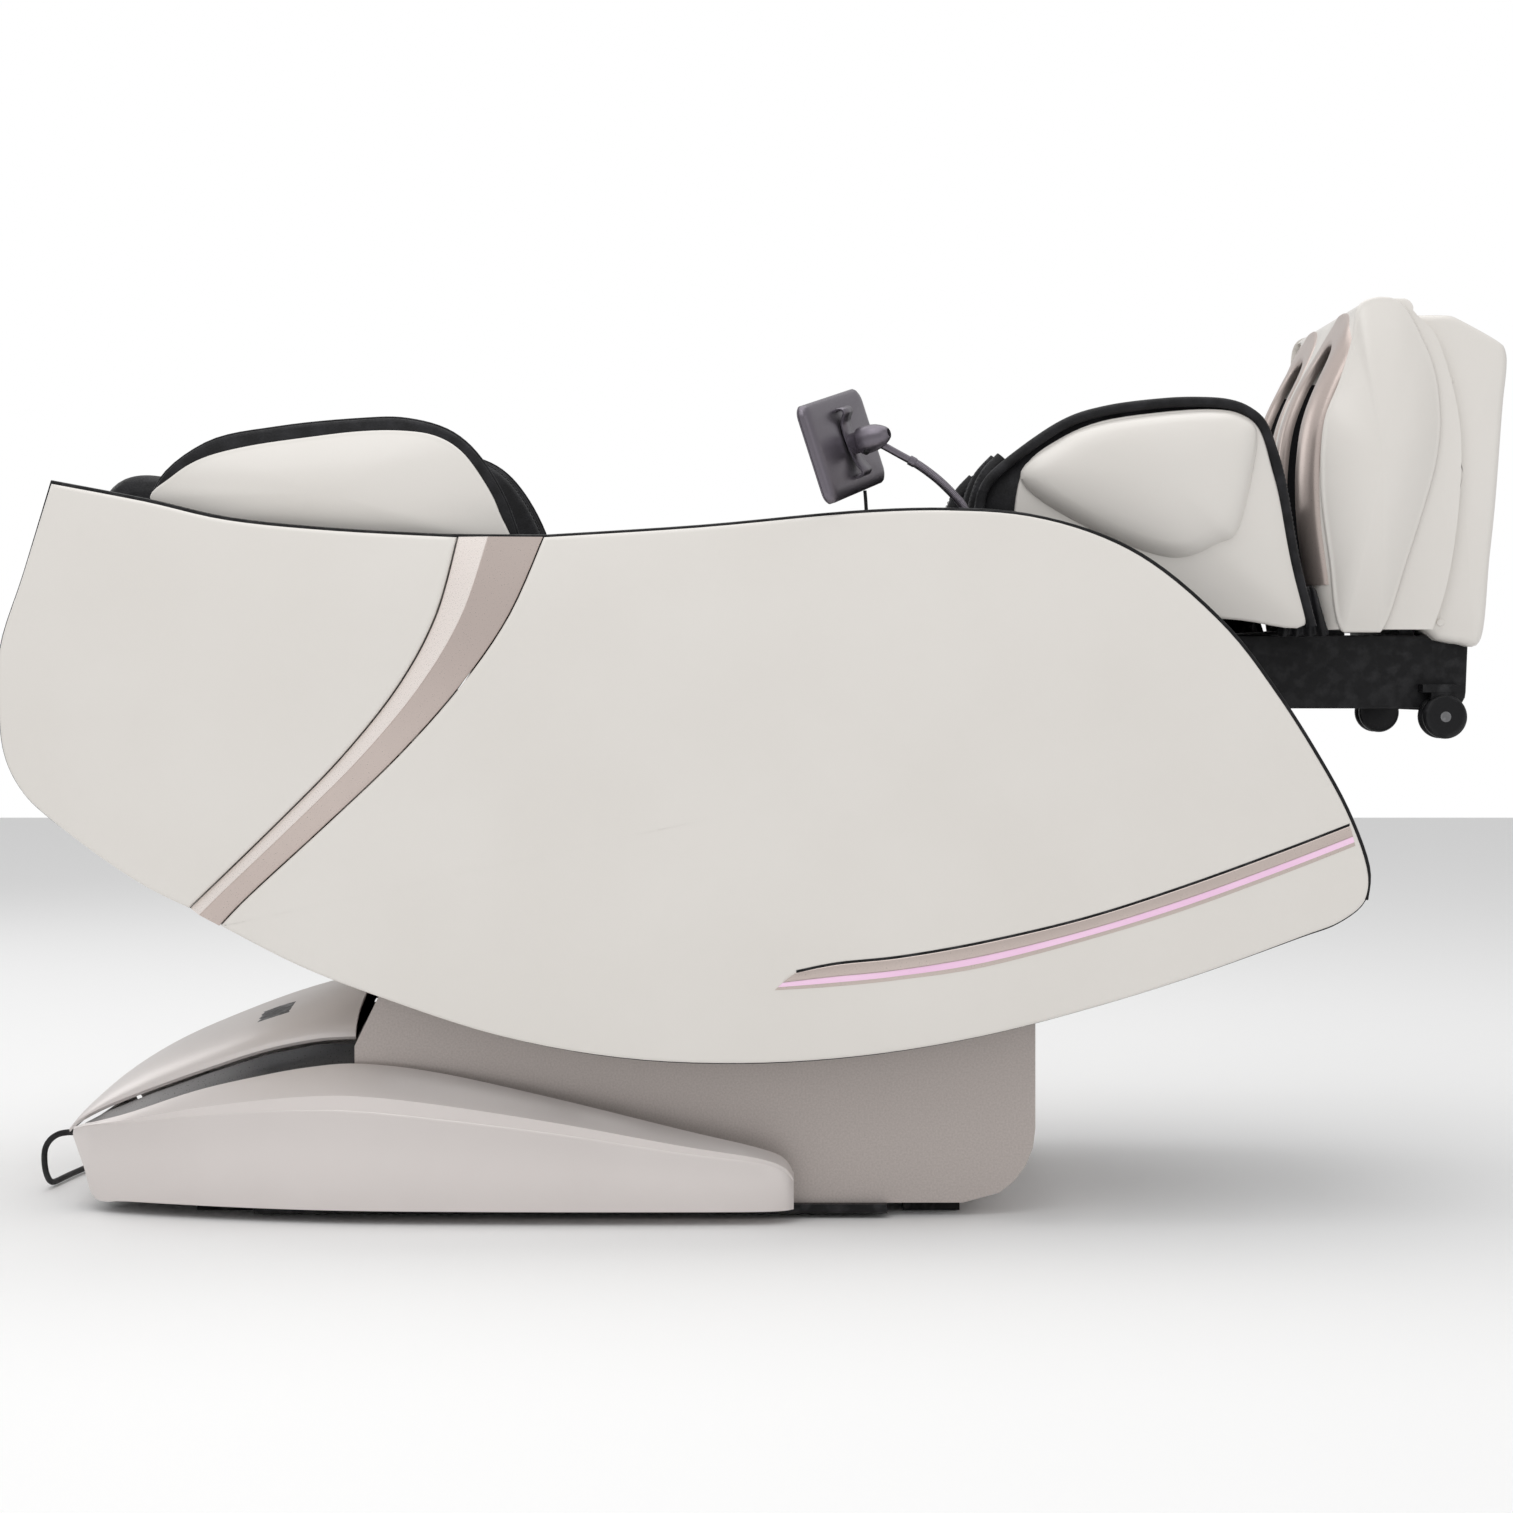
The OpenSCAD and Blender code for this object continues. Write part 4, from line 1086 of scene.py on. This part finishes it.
def fairings():
    """Long side fairings: flat lower side, a crease, then a shoulder that leans in to the channel."""
    rows = curve(FAIRING, 5)
    for side, word in NAMED_SIDES:
        rings = []
        for x, y, low, crease, top in rows:
            lean = 6 + 0.75 * (top - crease)
            section = [(y, low), (y + 0.8, low + 3), (y + 1.5, 0.5 * (low + crease)), (y + 0.3, crease - 3),
                       (y - 1.2, crease), (y - 0.2, crease + 0.35 * (top - crease)),
                       (y - lean * 0.55, crease + 0.82 * (top - crease)), (y - lean + 1, top - 0.6),
                       (y - lean, top), (y - lean - 1.2, top - 0.8), (y - lean - 8, top - 4),
                       (y - 10, crease - 5), (y - 8, low)]
            rings.append([(x, side * a, b) for a, b in section])
        o = loft("fairing_skin_" + word, rings, SILVER, sharp=28)
        place(o, "base", "base_silver", "base_fairing_" + word)


def channels():
    """Channel between the centre cover and the fairings, sweeping under the tower, darker there with painted
    shade.
    """
    made = []
    for side in SIDES:
        rings = []
        for x in np.linspace(-868, -512, 60):
            h, f = row_at(x, HUMP), row_at(x, FAIRING)
            high = np.array([h[1] - 6, h[2] - 5])
            low = np.array([f[1] - 12 - 0.75 * (f[4] - f[3]), f[4] - 4])
            row = [high + t * (low - high) - [0, 9 * math.sin(math.pi * t) + 3 * (1 - t)] for t in
                   np.linspace(0, 1, 9)]
            row += [p - [0, 4] for p in row[::-1]]
            rings.append([(x, side * p[0], p[1]) for p in row])
        made.append(loft("channel", rings, GROOVE))
    place(joined("base_channels", made), "base", "groove_gloss", "base_grooves")


def tail():
    """Sloped tail wall, curled in at its sides, with an opening for the power switch."""
    low, high = np.array([-850, 17]), np.array([-886, 88])
    rings = []
    for t in np.linspace(0, 1, 12):
        p = low + t * (high - low)
        row = []
        for y in np.linspace(-157, 157, 31):
            curl = 5 * (1 - falloff((abs(y) - 110) / 47))
            row.append((p[0] + curl, y, p[1]))
        row += [(x + 5, y, z) for x, y, z in row[::-1]]
        rings.append(row)
    o = loft("tail_skin", rings, SILVER)
    hole = bpy.data.objects.new("hole", bpy.data.meshes.new("hole"))
    bm = bmesh.new()
    bmesh.ops.create_cube(bm, size=1)
    for v in bm.verts:
        v.co = Vector((v.co.x * 0.05, v.co.y * 0.027, v.co.z * 0.019))
    bm.to_mesh(hole.data)
    bm.free()
    slope = Matrix.Rotation(math.radians(-27), 4, "Y")
    hole.matrix_world = Matrix.Translation((-0.867, 0.050, 0.058)) @ slope
    bpy.context.scene.collection.objects.link(hole)
    cutter = o.modifiers.new("hole", "BOOLEAN")
    cutter.object = hole
    cutter.solver = "EXACT"
    apply(o)
    bpy.data.objects.remove(hole)
    place(o, "base", "base_silver", "base_tail_cover")


def strain_relief():
    """Tapered ribbed sleeve on the lead."""
    profile = [(0, 9), (3, 9), (4, 8.4), (4.6, 7.6)]
    for k in range(5):
        at = 5.6 + 3.4 * k
        r = 7.4 - 0.5 * k
        profile += [(at, r), (at + 0.4, r - 1.0), (at + 1.2, r - 1.0), (at + 1.6, r - 0.1)]
    profile += [(23.4, 5.0), (24, 4.3)]
    o = lathe("strain_relief_sleeve", profile, (-878, -90, 78), (-1, 0, 0), JACKET, 32)
    place(o, "base", "cable_jacket", "mains_strain_relief")


REAR_AXLE = (-826, 0, 33)


def rear_wheels():
    for side, word in NAMED_SIDES:
        profile = [(162, 6.1), (162, 11), (163, 12), (165.5, 12), (166, 22), (165, 25), (167, 27.4),
                   (170, 28), (184, 28), (187, 27.4), (189, 25), (188, 22), (188.5, 12), (190.5, 12),
                   (191, 11), (191, 6.1)]
        profile = [(side * h, r) for h, r in profile]
        o = lathe("rear_wheel_tyre_" + word, profile, REAR_AXLE, (0, 1, 0), RUBBER, bored=True)
        place(o, "rear_wheel_" + word, "black_plastic", "rear_wheel_" + word)


# ---------------------------------------------------------------- tablet

TABLET_CENTRE = Vector((99, -289, 962)) * MM
BALL_AT = (130, -303, 968)
BALL = Vector(BALL_AT) * MM
TABLET_TURN = [math.radians(a) for a in (12.5, -14, -26.5)]


def tablet_matrix(centre):
    turn = Matrix.Rotation(TABLET_TURN[2], 4, "Z") @ Matrix.Rotation(TABLET_TURN[1], 4, "Y")
    return Matrix.Translation(centre) @ turn @ Matrix.Rotation(TABLET_TURN[0], 4, "X")


def rounded_rectangle(width, height, radius, steps=8):
    points = []
    for cx, cz, start in ((1, 1, 0), (-1, 1, 90), (-1, -1, 180), (1, -1, 270)):
        for k in range(steps + 1):
            a = math.radians(start + 90 * k / steps)
            points.append((cx * (width / 2 - radius) + radius * math.cos(a),
                           cz * (height / 2 - radius) + radius * math.sin(a)))
    return np.array(points)


def slab(name, rings_at, material):
    """Rounded slab in tablet axes: rings of (x, width, height, corner radius)."""
    rings = []
    for x, width, height, radius in rings_at:
        p = rounded_rectangle(width, height, max(radius, 1))
        rings.append(np.stack([np.full(len(p), x), p[:, 0], p[:, 1]], axis=1))
    return loft(name, rings, material)


def tablet():
    """Slim panel computer in a metal housing, facing the seat."""
    w, h = 192, 124
    rings = [(-7.5, w - 7, h - 7, 12), (-7.0, w - 3, h - 3, 14), (-5.6, w, h, 15), (-4.6, w, h, 15),
             (-4.2, w - 1.6, h - 1.6, 14), (-3.6, w - 1.6, h - 1.6, 14), (-3.2, w, h, 15), (0.5, w, h, 15),
             (3.2, w - 3, h - 3, 15), (5.4, w - 9, h - 9, 14), (6.8, w - 18, h - 18, 12),
             (7.5, w - 30, h - 30, 10)]
    shell = slab("tablet_shell", rings, GUNMETAL)
    shell.data.transform(tablet_matrix(TABLET_CENTRE))
    place(shell, "tablet", "gunmetal", "tablet_body")
    glass = slab("tablet_glass", [(-8.1, w - 15, h - 15, 9), (-7.4, w - 14, h - 14, 9),
                                  (-7.0, w - 14, h - 14, 9)], SCREEN)
    glass.data.transform(tablet_matrix(TABLET_CENTRE))
    place(glass, "tablet", "gunmetal")


def tablet_holder():
    """U-shaped strap on the tablet's back, the bullet-shaped ball housing and its clamp screw."""
    made = []
    strap = curve([(8.0, -42), (11, -43.5), (16.5, -42), (18.4, -37), (13.6, -24), (10.6, 0), (10.6, 22),
                   (13.6, 30), (18.4, 37), (16.5, 42), (11, 43.5), (8.0, 42)], 6)
    section = ((-12, -0.9), (-11.2, -1.5), (17.2, -1.5), (18, -0.9), (18, 0.9), (17.2, 1.5), (-11.2, 1.5),
               (-12, 0.9))
    rings = []
    for p, n in zip(strap, right_of(strap)):
        rings.append([(p[0] + n[0] * lift, y, p[1] + n[1] * lift) for y, lift in section])
    o = loft("tablet_strap", rings, GUNMETAL)
    o.data.transform(tablet_matrix(TABLET_CENTRE))
    made.append(o)
    profile = [(-25, 11), (-24.4, 13), (-14, 13.4), (-12, 14.6), (-11, 16.4), (-9, 17.2), (0, 17), (8, 16.4),
               (14, 15), (20, 12.4), (25, 9.4), (28, 6.6), (28.6, 5.4), (22, 5.0)]
    o = lathe("ball_housing", profile, (0, 0, 0), (1, 0, 0), GUNMETAL, 48)
    o.data.transform(tablet_matrix(BALL))
    made.append(o)
    screw = lathe("clamp_screw", [(0, 3.6), (3.4, 3.6), (4.2, 3.0), (4.4, 1.7), (3.2, 1.6)], (0, 0, 0),
                  (0.2, -0.9, -0.5), BLACK, 24)
    screw.data.transform(tablet_matrix(BALL) @ Matrix.Translation(Vector((-4, -9, -13)) * MM))
    made.append(screw)
    place(joined("tablet_holder_parts", made), "tablet", "gunmetal", "tablet_bracket")


NECK = [(252, -302, 801), (252, -302, 850), (249, -302, 880), (236, -302, 898), (218, -302, 916),
        (203, -302, 928), (189, -302, 937.6), (170, -302, 948), (152, -302, 958), (145, -302, 961.5)]


def neck():
    """Spiral-ribbed gooseneck with a plain collar at the top and a sleeve at the bottom."""
    fine = even(curve(NECK, 10), 640)
    radius = np.full(len(fine), 5.2)
    ribbed = slice(14, 500)
    radius[ribbed] += 0.45 * np.abs(np.sin(np.arange(len(fine))[ribbed] * math.pi / 5.0))
    radius[500:] = 4.6
    radius[495:520] = 6.2
    radius[:10] = 7.0
    made = [tube("gooseneck_run", fine, radius, GUNMETAL, 20, 70)]
    made.append(lathe("neck_ball", [(-10.9 * math.cos(math.radians(a)), 10.9 * math.sin(math.radians(a)))
                                    for a in range(6, 180, 12)], BALL_AT, (-0.85, 0, 0.5), BLACK, 32))
    made.append(lathe("neck_foot", [(0, 13), (3, 13), (4.5, 11.5), (6, 8.2), (14, 7.4), (15, 6)],
                      (252, -302, 801), (0, 0, 1), GUNMETAL, 40))
    place(joined("gooseneck_arm", made), "seat_body", "gunmetal", "gooseneck")


CABLE_ROUTE = [(127, -264, 907), (128, -265, 895), (129, -268, 875), (130, -275, 850), (131, -282, 825),
               (132, -288, 799.5)]


def tablet_lead():
    """Short lead from the tablet's lower edge into the arm rest."""
    run = curve(CABLE_ROUTE, 5)
    lead = tube("tablet_lead", run, 2.25, JACKET, 12)
    place(lead, "seat_body", "cable_jacket", "tablet_cable")


# ---------------------------------------------------------------- leg rest

CALF = [(318, 900), (332, 943), (371, 973), (425, 996), (506, 1008), (570, 1011), (605, 1003),
        (626, 982), (640, 935), (652, 890), (668, 815), (681, 740), (600, 746), (500, 756), (400, 772),
        (340, 805), (318, 850)]
BULGE = [(323, 923), (371, 971), (425, 993), (506, 1005), (570, 1008), (603, 1000), (620, 980), (612, 920),
         (596, 858), (574, 842), (511, 823), (406, 861)]
CALF_EDGE = [(264, 880), (272, 915), (300, 946), (371, 996), (429, 1016), (506, 1026), (560, 1027),
             (592, 1023), (615, 1013), (633, 996), (646, 964), (658, 919), (675, 823), (696, 740)]


def calf_skins():
    """White leg covers: a lower panel with a raised, sharply bounded upper bulge."""
    panel = curve(CALF, 5, True)
    bulge = even(curve(BULGE, 6, True), 150, True)
    made = []
    for side in SIDES:
        made.append(loft("panel", dome_rings(panel, (510, 880), 232, 6, 10, 4, side), WHITE))
        rings = []
        for s, y in ((1, 238), (1, 243), (0.99, 246), (0.975, 249), (0.94, 254), (0.88, 259)):
            rings.append(flat_ring(scaled(bulge, (490, 930), s), y, side))
        for s, y in ((0.8, 262), (0.65, 264.5), (0.5, 266), (0.3, 267), (0.1, 267.3)):
            rings.append(flat_ring(scaled(bulge, (490, 930), s), y, side))
        made.append(loft("bulge", rings, WHITE, sharp=25))
    place(joined("calf_cover_skins", made), "leg_rest", "pearl_white", "calf_shells")


def calf_leather():
    """Leather walls round the calf covers, the calf channels, and rolls at the knee."""
    edge = curve(CALF_EDGE, 8)
    closed = np.vstack([edge, [(656, 768), (500, 768), (400, 770), (330, 792), (290, 830)]])
    closed = even(closed, 220, True)
    walls, seams = [], []
    for side in SIDES:
        rings = []
        for t in np.linspace(0, 1, 11):
            rings.append(flat_ring(inset(closed, 3 + drawn_in(t, 5, 3)), 197 + 33 * t, side))
        walls.append(loft("wall", rings, LEATHER, sharp=180))
        roll = even(edge, len(edge))
        under = flat_ring(roll + 7 * right_of(roll), 236, side)
        seams.append(tube("edge_roll", under, 6.5, LEATHER, 14))
        seams.append(stitch_row(flat_ring(edge - [0, 4], 237.5, side)))
        for k, (dx, y) in enumerate(((0, 205), (-7, 180))):
            knee = curve([(300, 820), (276, 850), (272, 890), (284, 925), (306, 950)], 8) + [dx, 0]
            run = flat_ring(knee, y, side)
            seams.append(tube("knee_roll", run, 12 - k, LEATHER, 14))
            seams.append(stitch_row(run + [-11, side * 6, 3]))
    trough = []
    for x in np.linspace(292, 654, 40):
        share = (x - 292) / (654 - 292)
        axis_z = 905 - (x - 200) * math.tan(math.radians(4))
        row = []
        for y in np.linspace(-194, 194, 79):
            off = abs(abs(y) - 95)
            rib = 3.0 * abs(math.sin(math.pi * share * 6)) ** 0.5
            if off < 68:
                z = axis_z - math.sqrt(68 ** 2 - off ** 2) + rib
            else:
                z = axis_z + 22
            row.append((x, y, min(z, axis_z + 22)))
        row += [(x, y, 770) for y in np.linspace(194, -194, 20)]
        trough.append(row)
    walls.append(loft("trough", trough, LEATHER, sharp=75))
    o = joined("calf_leather", walls)
    place(o, "leg_rest", LEATHER_SLOT, "calf_cushion")
    place(joined("calf_leather_seams", seams), "leg_rest", LEATHER_SLOT)


def bellows():
    """Pleated leather that closes the gap between the leg rest and the foot unit."""
    folds, per_fold = 4, 8
    steps = folds * per_fold
    rings = []
    for i in range(steps + 1):
        t = i / steps
        x = 654 + 54 * t
        out = 5.5 * math.sin(math.pi * folds * t) ** 2
        half, low, high = 222 + out, 728 - out * 0.6, 788 + out * 0.4
        ring = even(np.array([(-half, low), (half, low), (half, high), (-half, high)]), 72, True)
        ring = inset(ring[::-1], 0.5)
        rings.append([(680 + (x - 680) * (0.62 + 0.5 * (788 - z) / 50), y, z) for y, z in ring])
    inner = np.array(rings) * [1, 0.985, 1]
    inner[..., 2] = 763 + (inner[..., 2] - 763) * 0.86
    o = loft("leg_bellows_pleats", rings + list(inner[::-1]), LEATHER, wrap=True, sharp=80)
    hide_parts("leg_bellows")
    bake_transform(o)


# ---------------------------------------------------------------- foot unit

FOOT_FRONT = [(708, 735), (699, 800), (691, 860), (688, 905), (689, 950), (696, 1000), (712, 1045),
              (738, 1097), (757, 1141)]
FOOT_REAR = [(757, 1141), (790, 1158), (812, 1154), (830, 1134), (858, 1100), (884, 1000), (884, 900),
             (870, 800), (850, 735)]
FOOT_SIDE = [(757, 1148), (746, 1099), (731, 1050), (714, 1008), (708, 970), (707, 930), (709, 890),
             (718, 822), (732, 734), (781, 728), (816, 822), (849, 929), (858, 982), (858, 1016), (853, 1056),
             (838, 1099), (805, 1152)]
FOOT_SHELL_BACK = [(836, 1136), (873, 1136), (890, 1130), (938, 1103), (948, 1090), (949, 1066),
                   (944, 1019), (935, 900), (927, 823), (916, 722), (885, 717), (858, 722)]
LEG_Y = 95
SLOT_HALF = 58
SLOT_TOP = 1050
FOOT_HALF = 202
FOOT_LOW = 735
CROWN_Z = 1140
CASTER_AXLE = (866, 0, 624)


def front_x(y, z):
    """Front face of the foot unit: its profile, rolled back at the sides."""
    line = curve(FOOT_FRONT, 6)
    x = np.interp(z, line[:, 1], line[:, 0])
    roll = np.clip((np.abs(y) - 165) / 36, 0, 1)
    dip = 4 * np.exp(-(np.abs(y) / 20) ** 2)
    return x + 22 * (1 - np.sqrt(1 - roll ** 2)) - dip


def slot_outline(grow, low_grow=None):
    """Outline of a foot slot in Y and Z: straight sides and a round top."""
    half = SLOT_HALF + grow
    base = 812 - (grow if low_grow is None else low_grow)
    points = [(-half, base), (half, base)]
    for a in np.radians(range(0, 171, 10)):
        points.append((half * math.cos(a), SLOT_TOP + half * math.sin(a)))
    points.append((-half, SLOT_TOP))
    return even(np.array(points), 120, True)


def foot_front():
    """White front shell with two foot slots, one closed body with a rolled front."""
    ys = np.linspace(-FOOT_HALF, FOOT_HALF, 61)
    rear = curve(FOOT_REAR, 6)[:8:-1]
    rings = []
    for z in np.linspace(FOOT_LOW, CROWN_Z, 60):
        back = max(np.interp(z, rear[:, 1], rear[:, 0]), 800)
        rings.append([(front_x(y, z), y, z) for y in ys] + [(back, y, z) for y in ys[::-1]])
    for a in np.radians(range(15, 76, 15)):
        z = CROWN_Z + 16 * math.sin(a)
        bend = 1 - math.cos(a)
        front, back = 757 + 26 * bend, 826 - 14 * bend
        half = FOOT_HALF - 6 * bend
        rings.append([(front, y * half / FOOT_HALF, z) for y in ys]
                     + [(back, y * half / FOOT_HALF, z) for y in ys[::-1]])
    shell = loft("foot_front_skin", rings, WHITE)
    for side in SIDES:
        slot = slot_outline(0)
        rings = [[(x, side * LEG_Y + y, z) for y, z in slot] for x in (640, 790, 900)]
        hole = loft("slot_cutter", rings, None)
        cutter = shell.modifiers.new("slot", "BOOLEAN")
        cutter.object = hole
        cutter.solver = "EXACT"
        apply(shell)
        bpy.data.objects.remove(hole)
    shell.data.shade_smooth()
    shell.data.set_sharp_from_angle(angle=math.radians(35))
    place(shell, "foot_unit", "pearl_white", "foot_front_shell")


def foot_bezels():
    """Champagne frames round the slots, laid on the front face and rolled into the slots."""
    made = []
    for side in SIDES:
        rings = []
        for grow, lift in ((-1.2, -9), (-1.2, -5), (-0.6, -1.5), (1.5, 2.2), (5, 3.4), (14, 3.0), (22, 2.2),
                           (25, 1.2), (26, -1.5)):
            row = []
            for across, z in slot_outline(grow, min(grow, 20)):
                flare = 0.32 * (grow - 5) / 20 if across * side > 0 and grow > 5 else 0
                y = max(-200.0, min(200.0, side * LEG_Y + across * (1 + flare)))
                tall = z + (0.55 * grow if z > 1060 else 0)
                row.append((front_x(y, min(tall, CROWN_Z)) - lift, y, tall))
            rings.append(row)
        made.append(loft("bezel", rings, CHAMPAGNE, caps=False, sharp=50))
    o = joined("foot_slot_frames", made)
    solid = o.modifiers.new("wall", "SOLIDIFY")
    solid.thickness = 1.2 * MM
    solid.offset = 0
    apply(o)
    o.data.shade_smooth()
    o.data.set_sharp_from_angle(angle=math.radians(50))
    place(o, "foot_unit", "champagne", "foot_slot_bezels")


def foot_liners():
    """Soft black linings with folds, standing in the slots."""
    path = curve([(728, 814), (780, 815), (808, 835), (816, 900), (820, 1000), (806, 1065), (776, 1106)], 8)
    line = even(path, 70)
    sole_rows = 16
    made = []
    for side in SIDES:
        rings = []
        for i, (p, n) in enumerate(zip(line, -right_of(line))):
            row, back = [], []
            for y in np.linspace(-SLOT_HALF + 1.5, SLOT_HALF - 1.5, 25):
                share = abs(y) / SLOT_HALF
                fold = 5 * math.sin(i * 0.55 + 1.2 * math.sin(y * 0.07)) * (1 - share ** 2)
                hug = 34 * share ** 3.2
                q = p + n * (8 + fold + hug * (0.4 if i < sole_rows else 1))
                row.append((q[0], side * LEG_Y + y, q[1]))
                back.append((p[0], side * LEG_Y + y, p[1]))
            lips, edges = [], []
            for x, y, _ in (row[0], row[-1]):
                lip = min(front_x(y, p[1]) + 7, x - 1)
                lips.append((lip, y, p[1]))
                edges.append((lip, y + math.copysign(1.2, y - side * LEG_Y), p[1]))
            rings.append([lips[0], *row, lips[1], edges[1], *back[::-1], edges[0]])
        made.append(loft("liner", rings, KNIT, sharp=80))
    o = joined("foot_slot_linings", made)
    place(o, "foot_unit", "black_fabric", "foot_slot_liners")


def foot_sides():
    """Almond side covers, crowned, with a narrow seam round them."""
    outline = even(curve(FOOT_SIDE, 6, True)[::-1], 170, True)
    outline[:, 1] = np.maximum(outline[:, 1], 731)
    outline = clockwise(outline)
    made = []
    for side in SIDES:
        made.append(loft("side", dome_rings(outline, (780, 950), 203, 5, 26, 5, side), WHITE))
    place(joined("foot_side_skins", made), "foot_unit", "pearl_white", "foot_side_covers")


def foot_back():
    """White rear cover, rounded at the sides, with screw caps."""
    outer = curve(FOOT_SHELL_BACK, 6)
    joint = [p - [16, 0] for p in curve(FOOT_REAR, 6) if p[0] > 832 and p[1] > 740][::-1]
    outline = clockwise(even(np.vstack([outer, joint]), 170, True))
    rings = []
    for k in range(7):
        a = math.radians(15 * k)
        rings.append(flat_ring(inset(outline, 10 * (1 - math.sin(a))), 180 + 11 * math.cos(a), 1))
    middle = [flat_ring(outline, y, 1) for y in (120, 60, 0, -60, -120)]
    mirrored = [r * [1, -1, 1] for r in rings[::-1]]
    o = loft("foot_back_skin", rings + middle + mirrored, WHITE)
    place(o, "foot_unit", "pearl_white", "foot_back_cover")
    made = []
    for side in SIDES:
        for x, z in ((874, 1052), (862, 744)):
            at = (x, side * 190.6, z)
            made.append(lathe("cap", [(0, 5), (1.4, 5), (2.2, 4), (2.3, 1)], at, (0, side, 0), WHITE, 24))
    place(joined("foot_screw_caps", made), "foot_unit", "pearl_white")


def undercarriage_cover():
    """Black moulded cheeks that close the space between the shells and the casters' frame."""
    low, high = (np.array(corner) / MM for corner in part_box("foot_undercarriage"))
    left, right, bottom, top = low[0] + 4, high[0] - 2, low[2] + 26, 728
    corner = [(right - 20 + 20 * math.cos(a), bottom + 20 - 20 * math.sin(a))
              for a in np.radians(range(0, 91, 15))]
    outline = clockwise(even(np.array([(left, bottom), (left, top), (right + 3, top)] + corner), 120, True))
    made = []
    for side in SIDES:
        rings = [flat_ring(inset(outline, 1.5), 157.5, side), flat_ring(outline, 159, side),
                 flat_ring(outline, 162, side), flat_ring(inset(outline, 1.5), 163.5, side)]
        made.append(loft("cheek", rings, BLACK))
    place(joined("undercarriage_cheeks", made), "foot_unit", "black_plastic")


def foot_casters():
    for side, word in NAMED_SIDES:
        made = []
        for y in (167, 193):
            profile = [(0, 4), (0, 20), (1.2, 24), (0.6, 26), (2.5, 27.6), (5, 28), (8, 28), (10, 27.4),
                       (12, 25), (11.5, 20), (12, 4)]
            turned = [(side * (y + h), r) for h, r in profile]
            made.append(lathe("disc", turned, CASTER_AXLE, (0, 1, 0), BLACK))
        made.append(lathe("hub", [(side * 178, 4.6), (side * 194, 4.6)], CASTER_AXLE, (0, 1, 0), BRIGHT, 24))
        made.append(lathe("cap", [(side * h, r) for h, r in ((204, 7), (205.5, 6.6), (206, 5), (206.2, 1))],
                          CASTER_AXLE, (0, 1, 0), GREY, 24))
        place(joined("foot_caster_wheels_" + word, made), "foot_caster_" + word, "black_plastic",
              "foot_caster_" + word)


# ---------------------------------------------------------------- scene

def studio():
    floor = piece("floor", [(-9000, -7000, -1), (9000, -7000, -1), (9000, 9000, -1), (-9000, 9000, -1)],
                  [(0, 1, 2, 3)], plain_stage())
    lights = [
        ("key", (-1.0, -2.6, 3.8), 3.2, 44, (0.0, 0.0, 0.6)),
        ("fill", (2.6, -3.4, 1.6), 2.6, 7, (0.2, 0.0, 0.6)),
        ("top", (0.0, 0.3, 3.8), 3.5, 44, (0.0, 0.0, 0.5)),
        ("rim", (-3.4, 2.6, 2.2), 2.0, 16, (-0.2, 0.0, 0.6)),
    ]
    for name, at, size, power, aim in lights:
        data = bpy.data.lights.new(name, "AREA")
        data.size = size
        data.energy = power
        lamp = bpy.data.objects.new(name, data)
        lamp.location = at
        lamp.rotation_euler = (Vector(aim) - Vector(at)).to_track_quat("-Z", "Y").to_euler()
        bpy.context.scene.collection.objects.link(lamp)
    world = bpy.data.worlds.new("studio")
    world.use_nodes = True
    tree = world.node_tree
    tree.nodes["Background"].inputs["Color"].default_value = (1, 1, 1, 1)
    tree.nodes["Background"].inputs["Strength"].default_value = 0.64
    seen = tree.nodes.new("ShaderNodeBackground")
    seen.inputs["Strength"].default_value = 1.0
    seen.inputs["Color"].default_value = (1, 1, 1, 1)
    mix = tree.nodes.new("ShaderNodeMixShader")
    path = tree.nodes.new("ShaderNodeLightPath")
    tree.links.new(path.outputs["Is Camera Ray"], mix.inputs["Fac"])
    tree.links.new(tree.nodes["Background"].outputs["Background"], mix.inputs[1])
    tree.links.new(seen.outputs["Background"], mix.inputs[2])
    tree.links.new(mix.outputs["Shader"], tree.nodes["World Output"].inputs["Surface"])
    bpy.context.scene.world = world
    bpy.context.scene.view_settings.view_transform = "Standard"


side_panels()
accent_strips()
side_seams()
light_bars()
shoulders()
main_cushions()
head_pillow()
arm_pads()
back_shell()
hump_cover()
fairings()
channels()
tail()
strain_relief()
rear_wheels()
tablet()
tablet_holder()
neck()
tablet_lead()
calf_skins()
calf_leather()
bellows()
foot_front()
foot_bezels()
foot_liners()
foot_sides()
foot_back()
undercarriage_cover()
foot_casters()
studio()
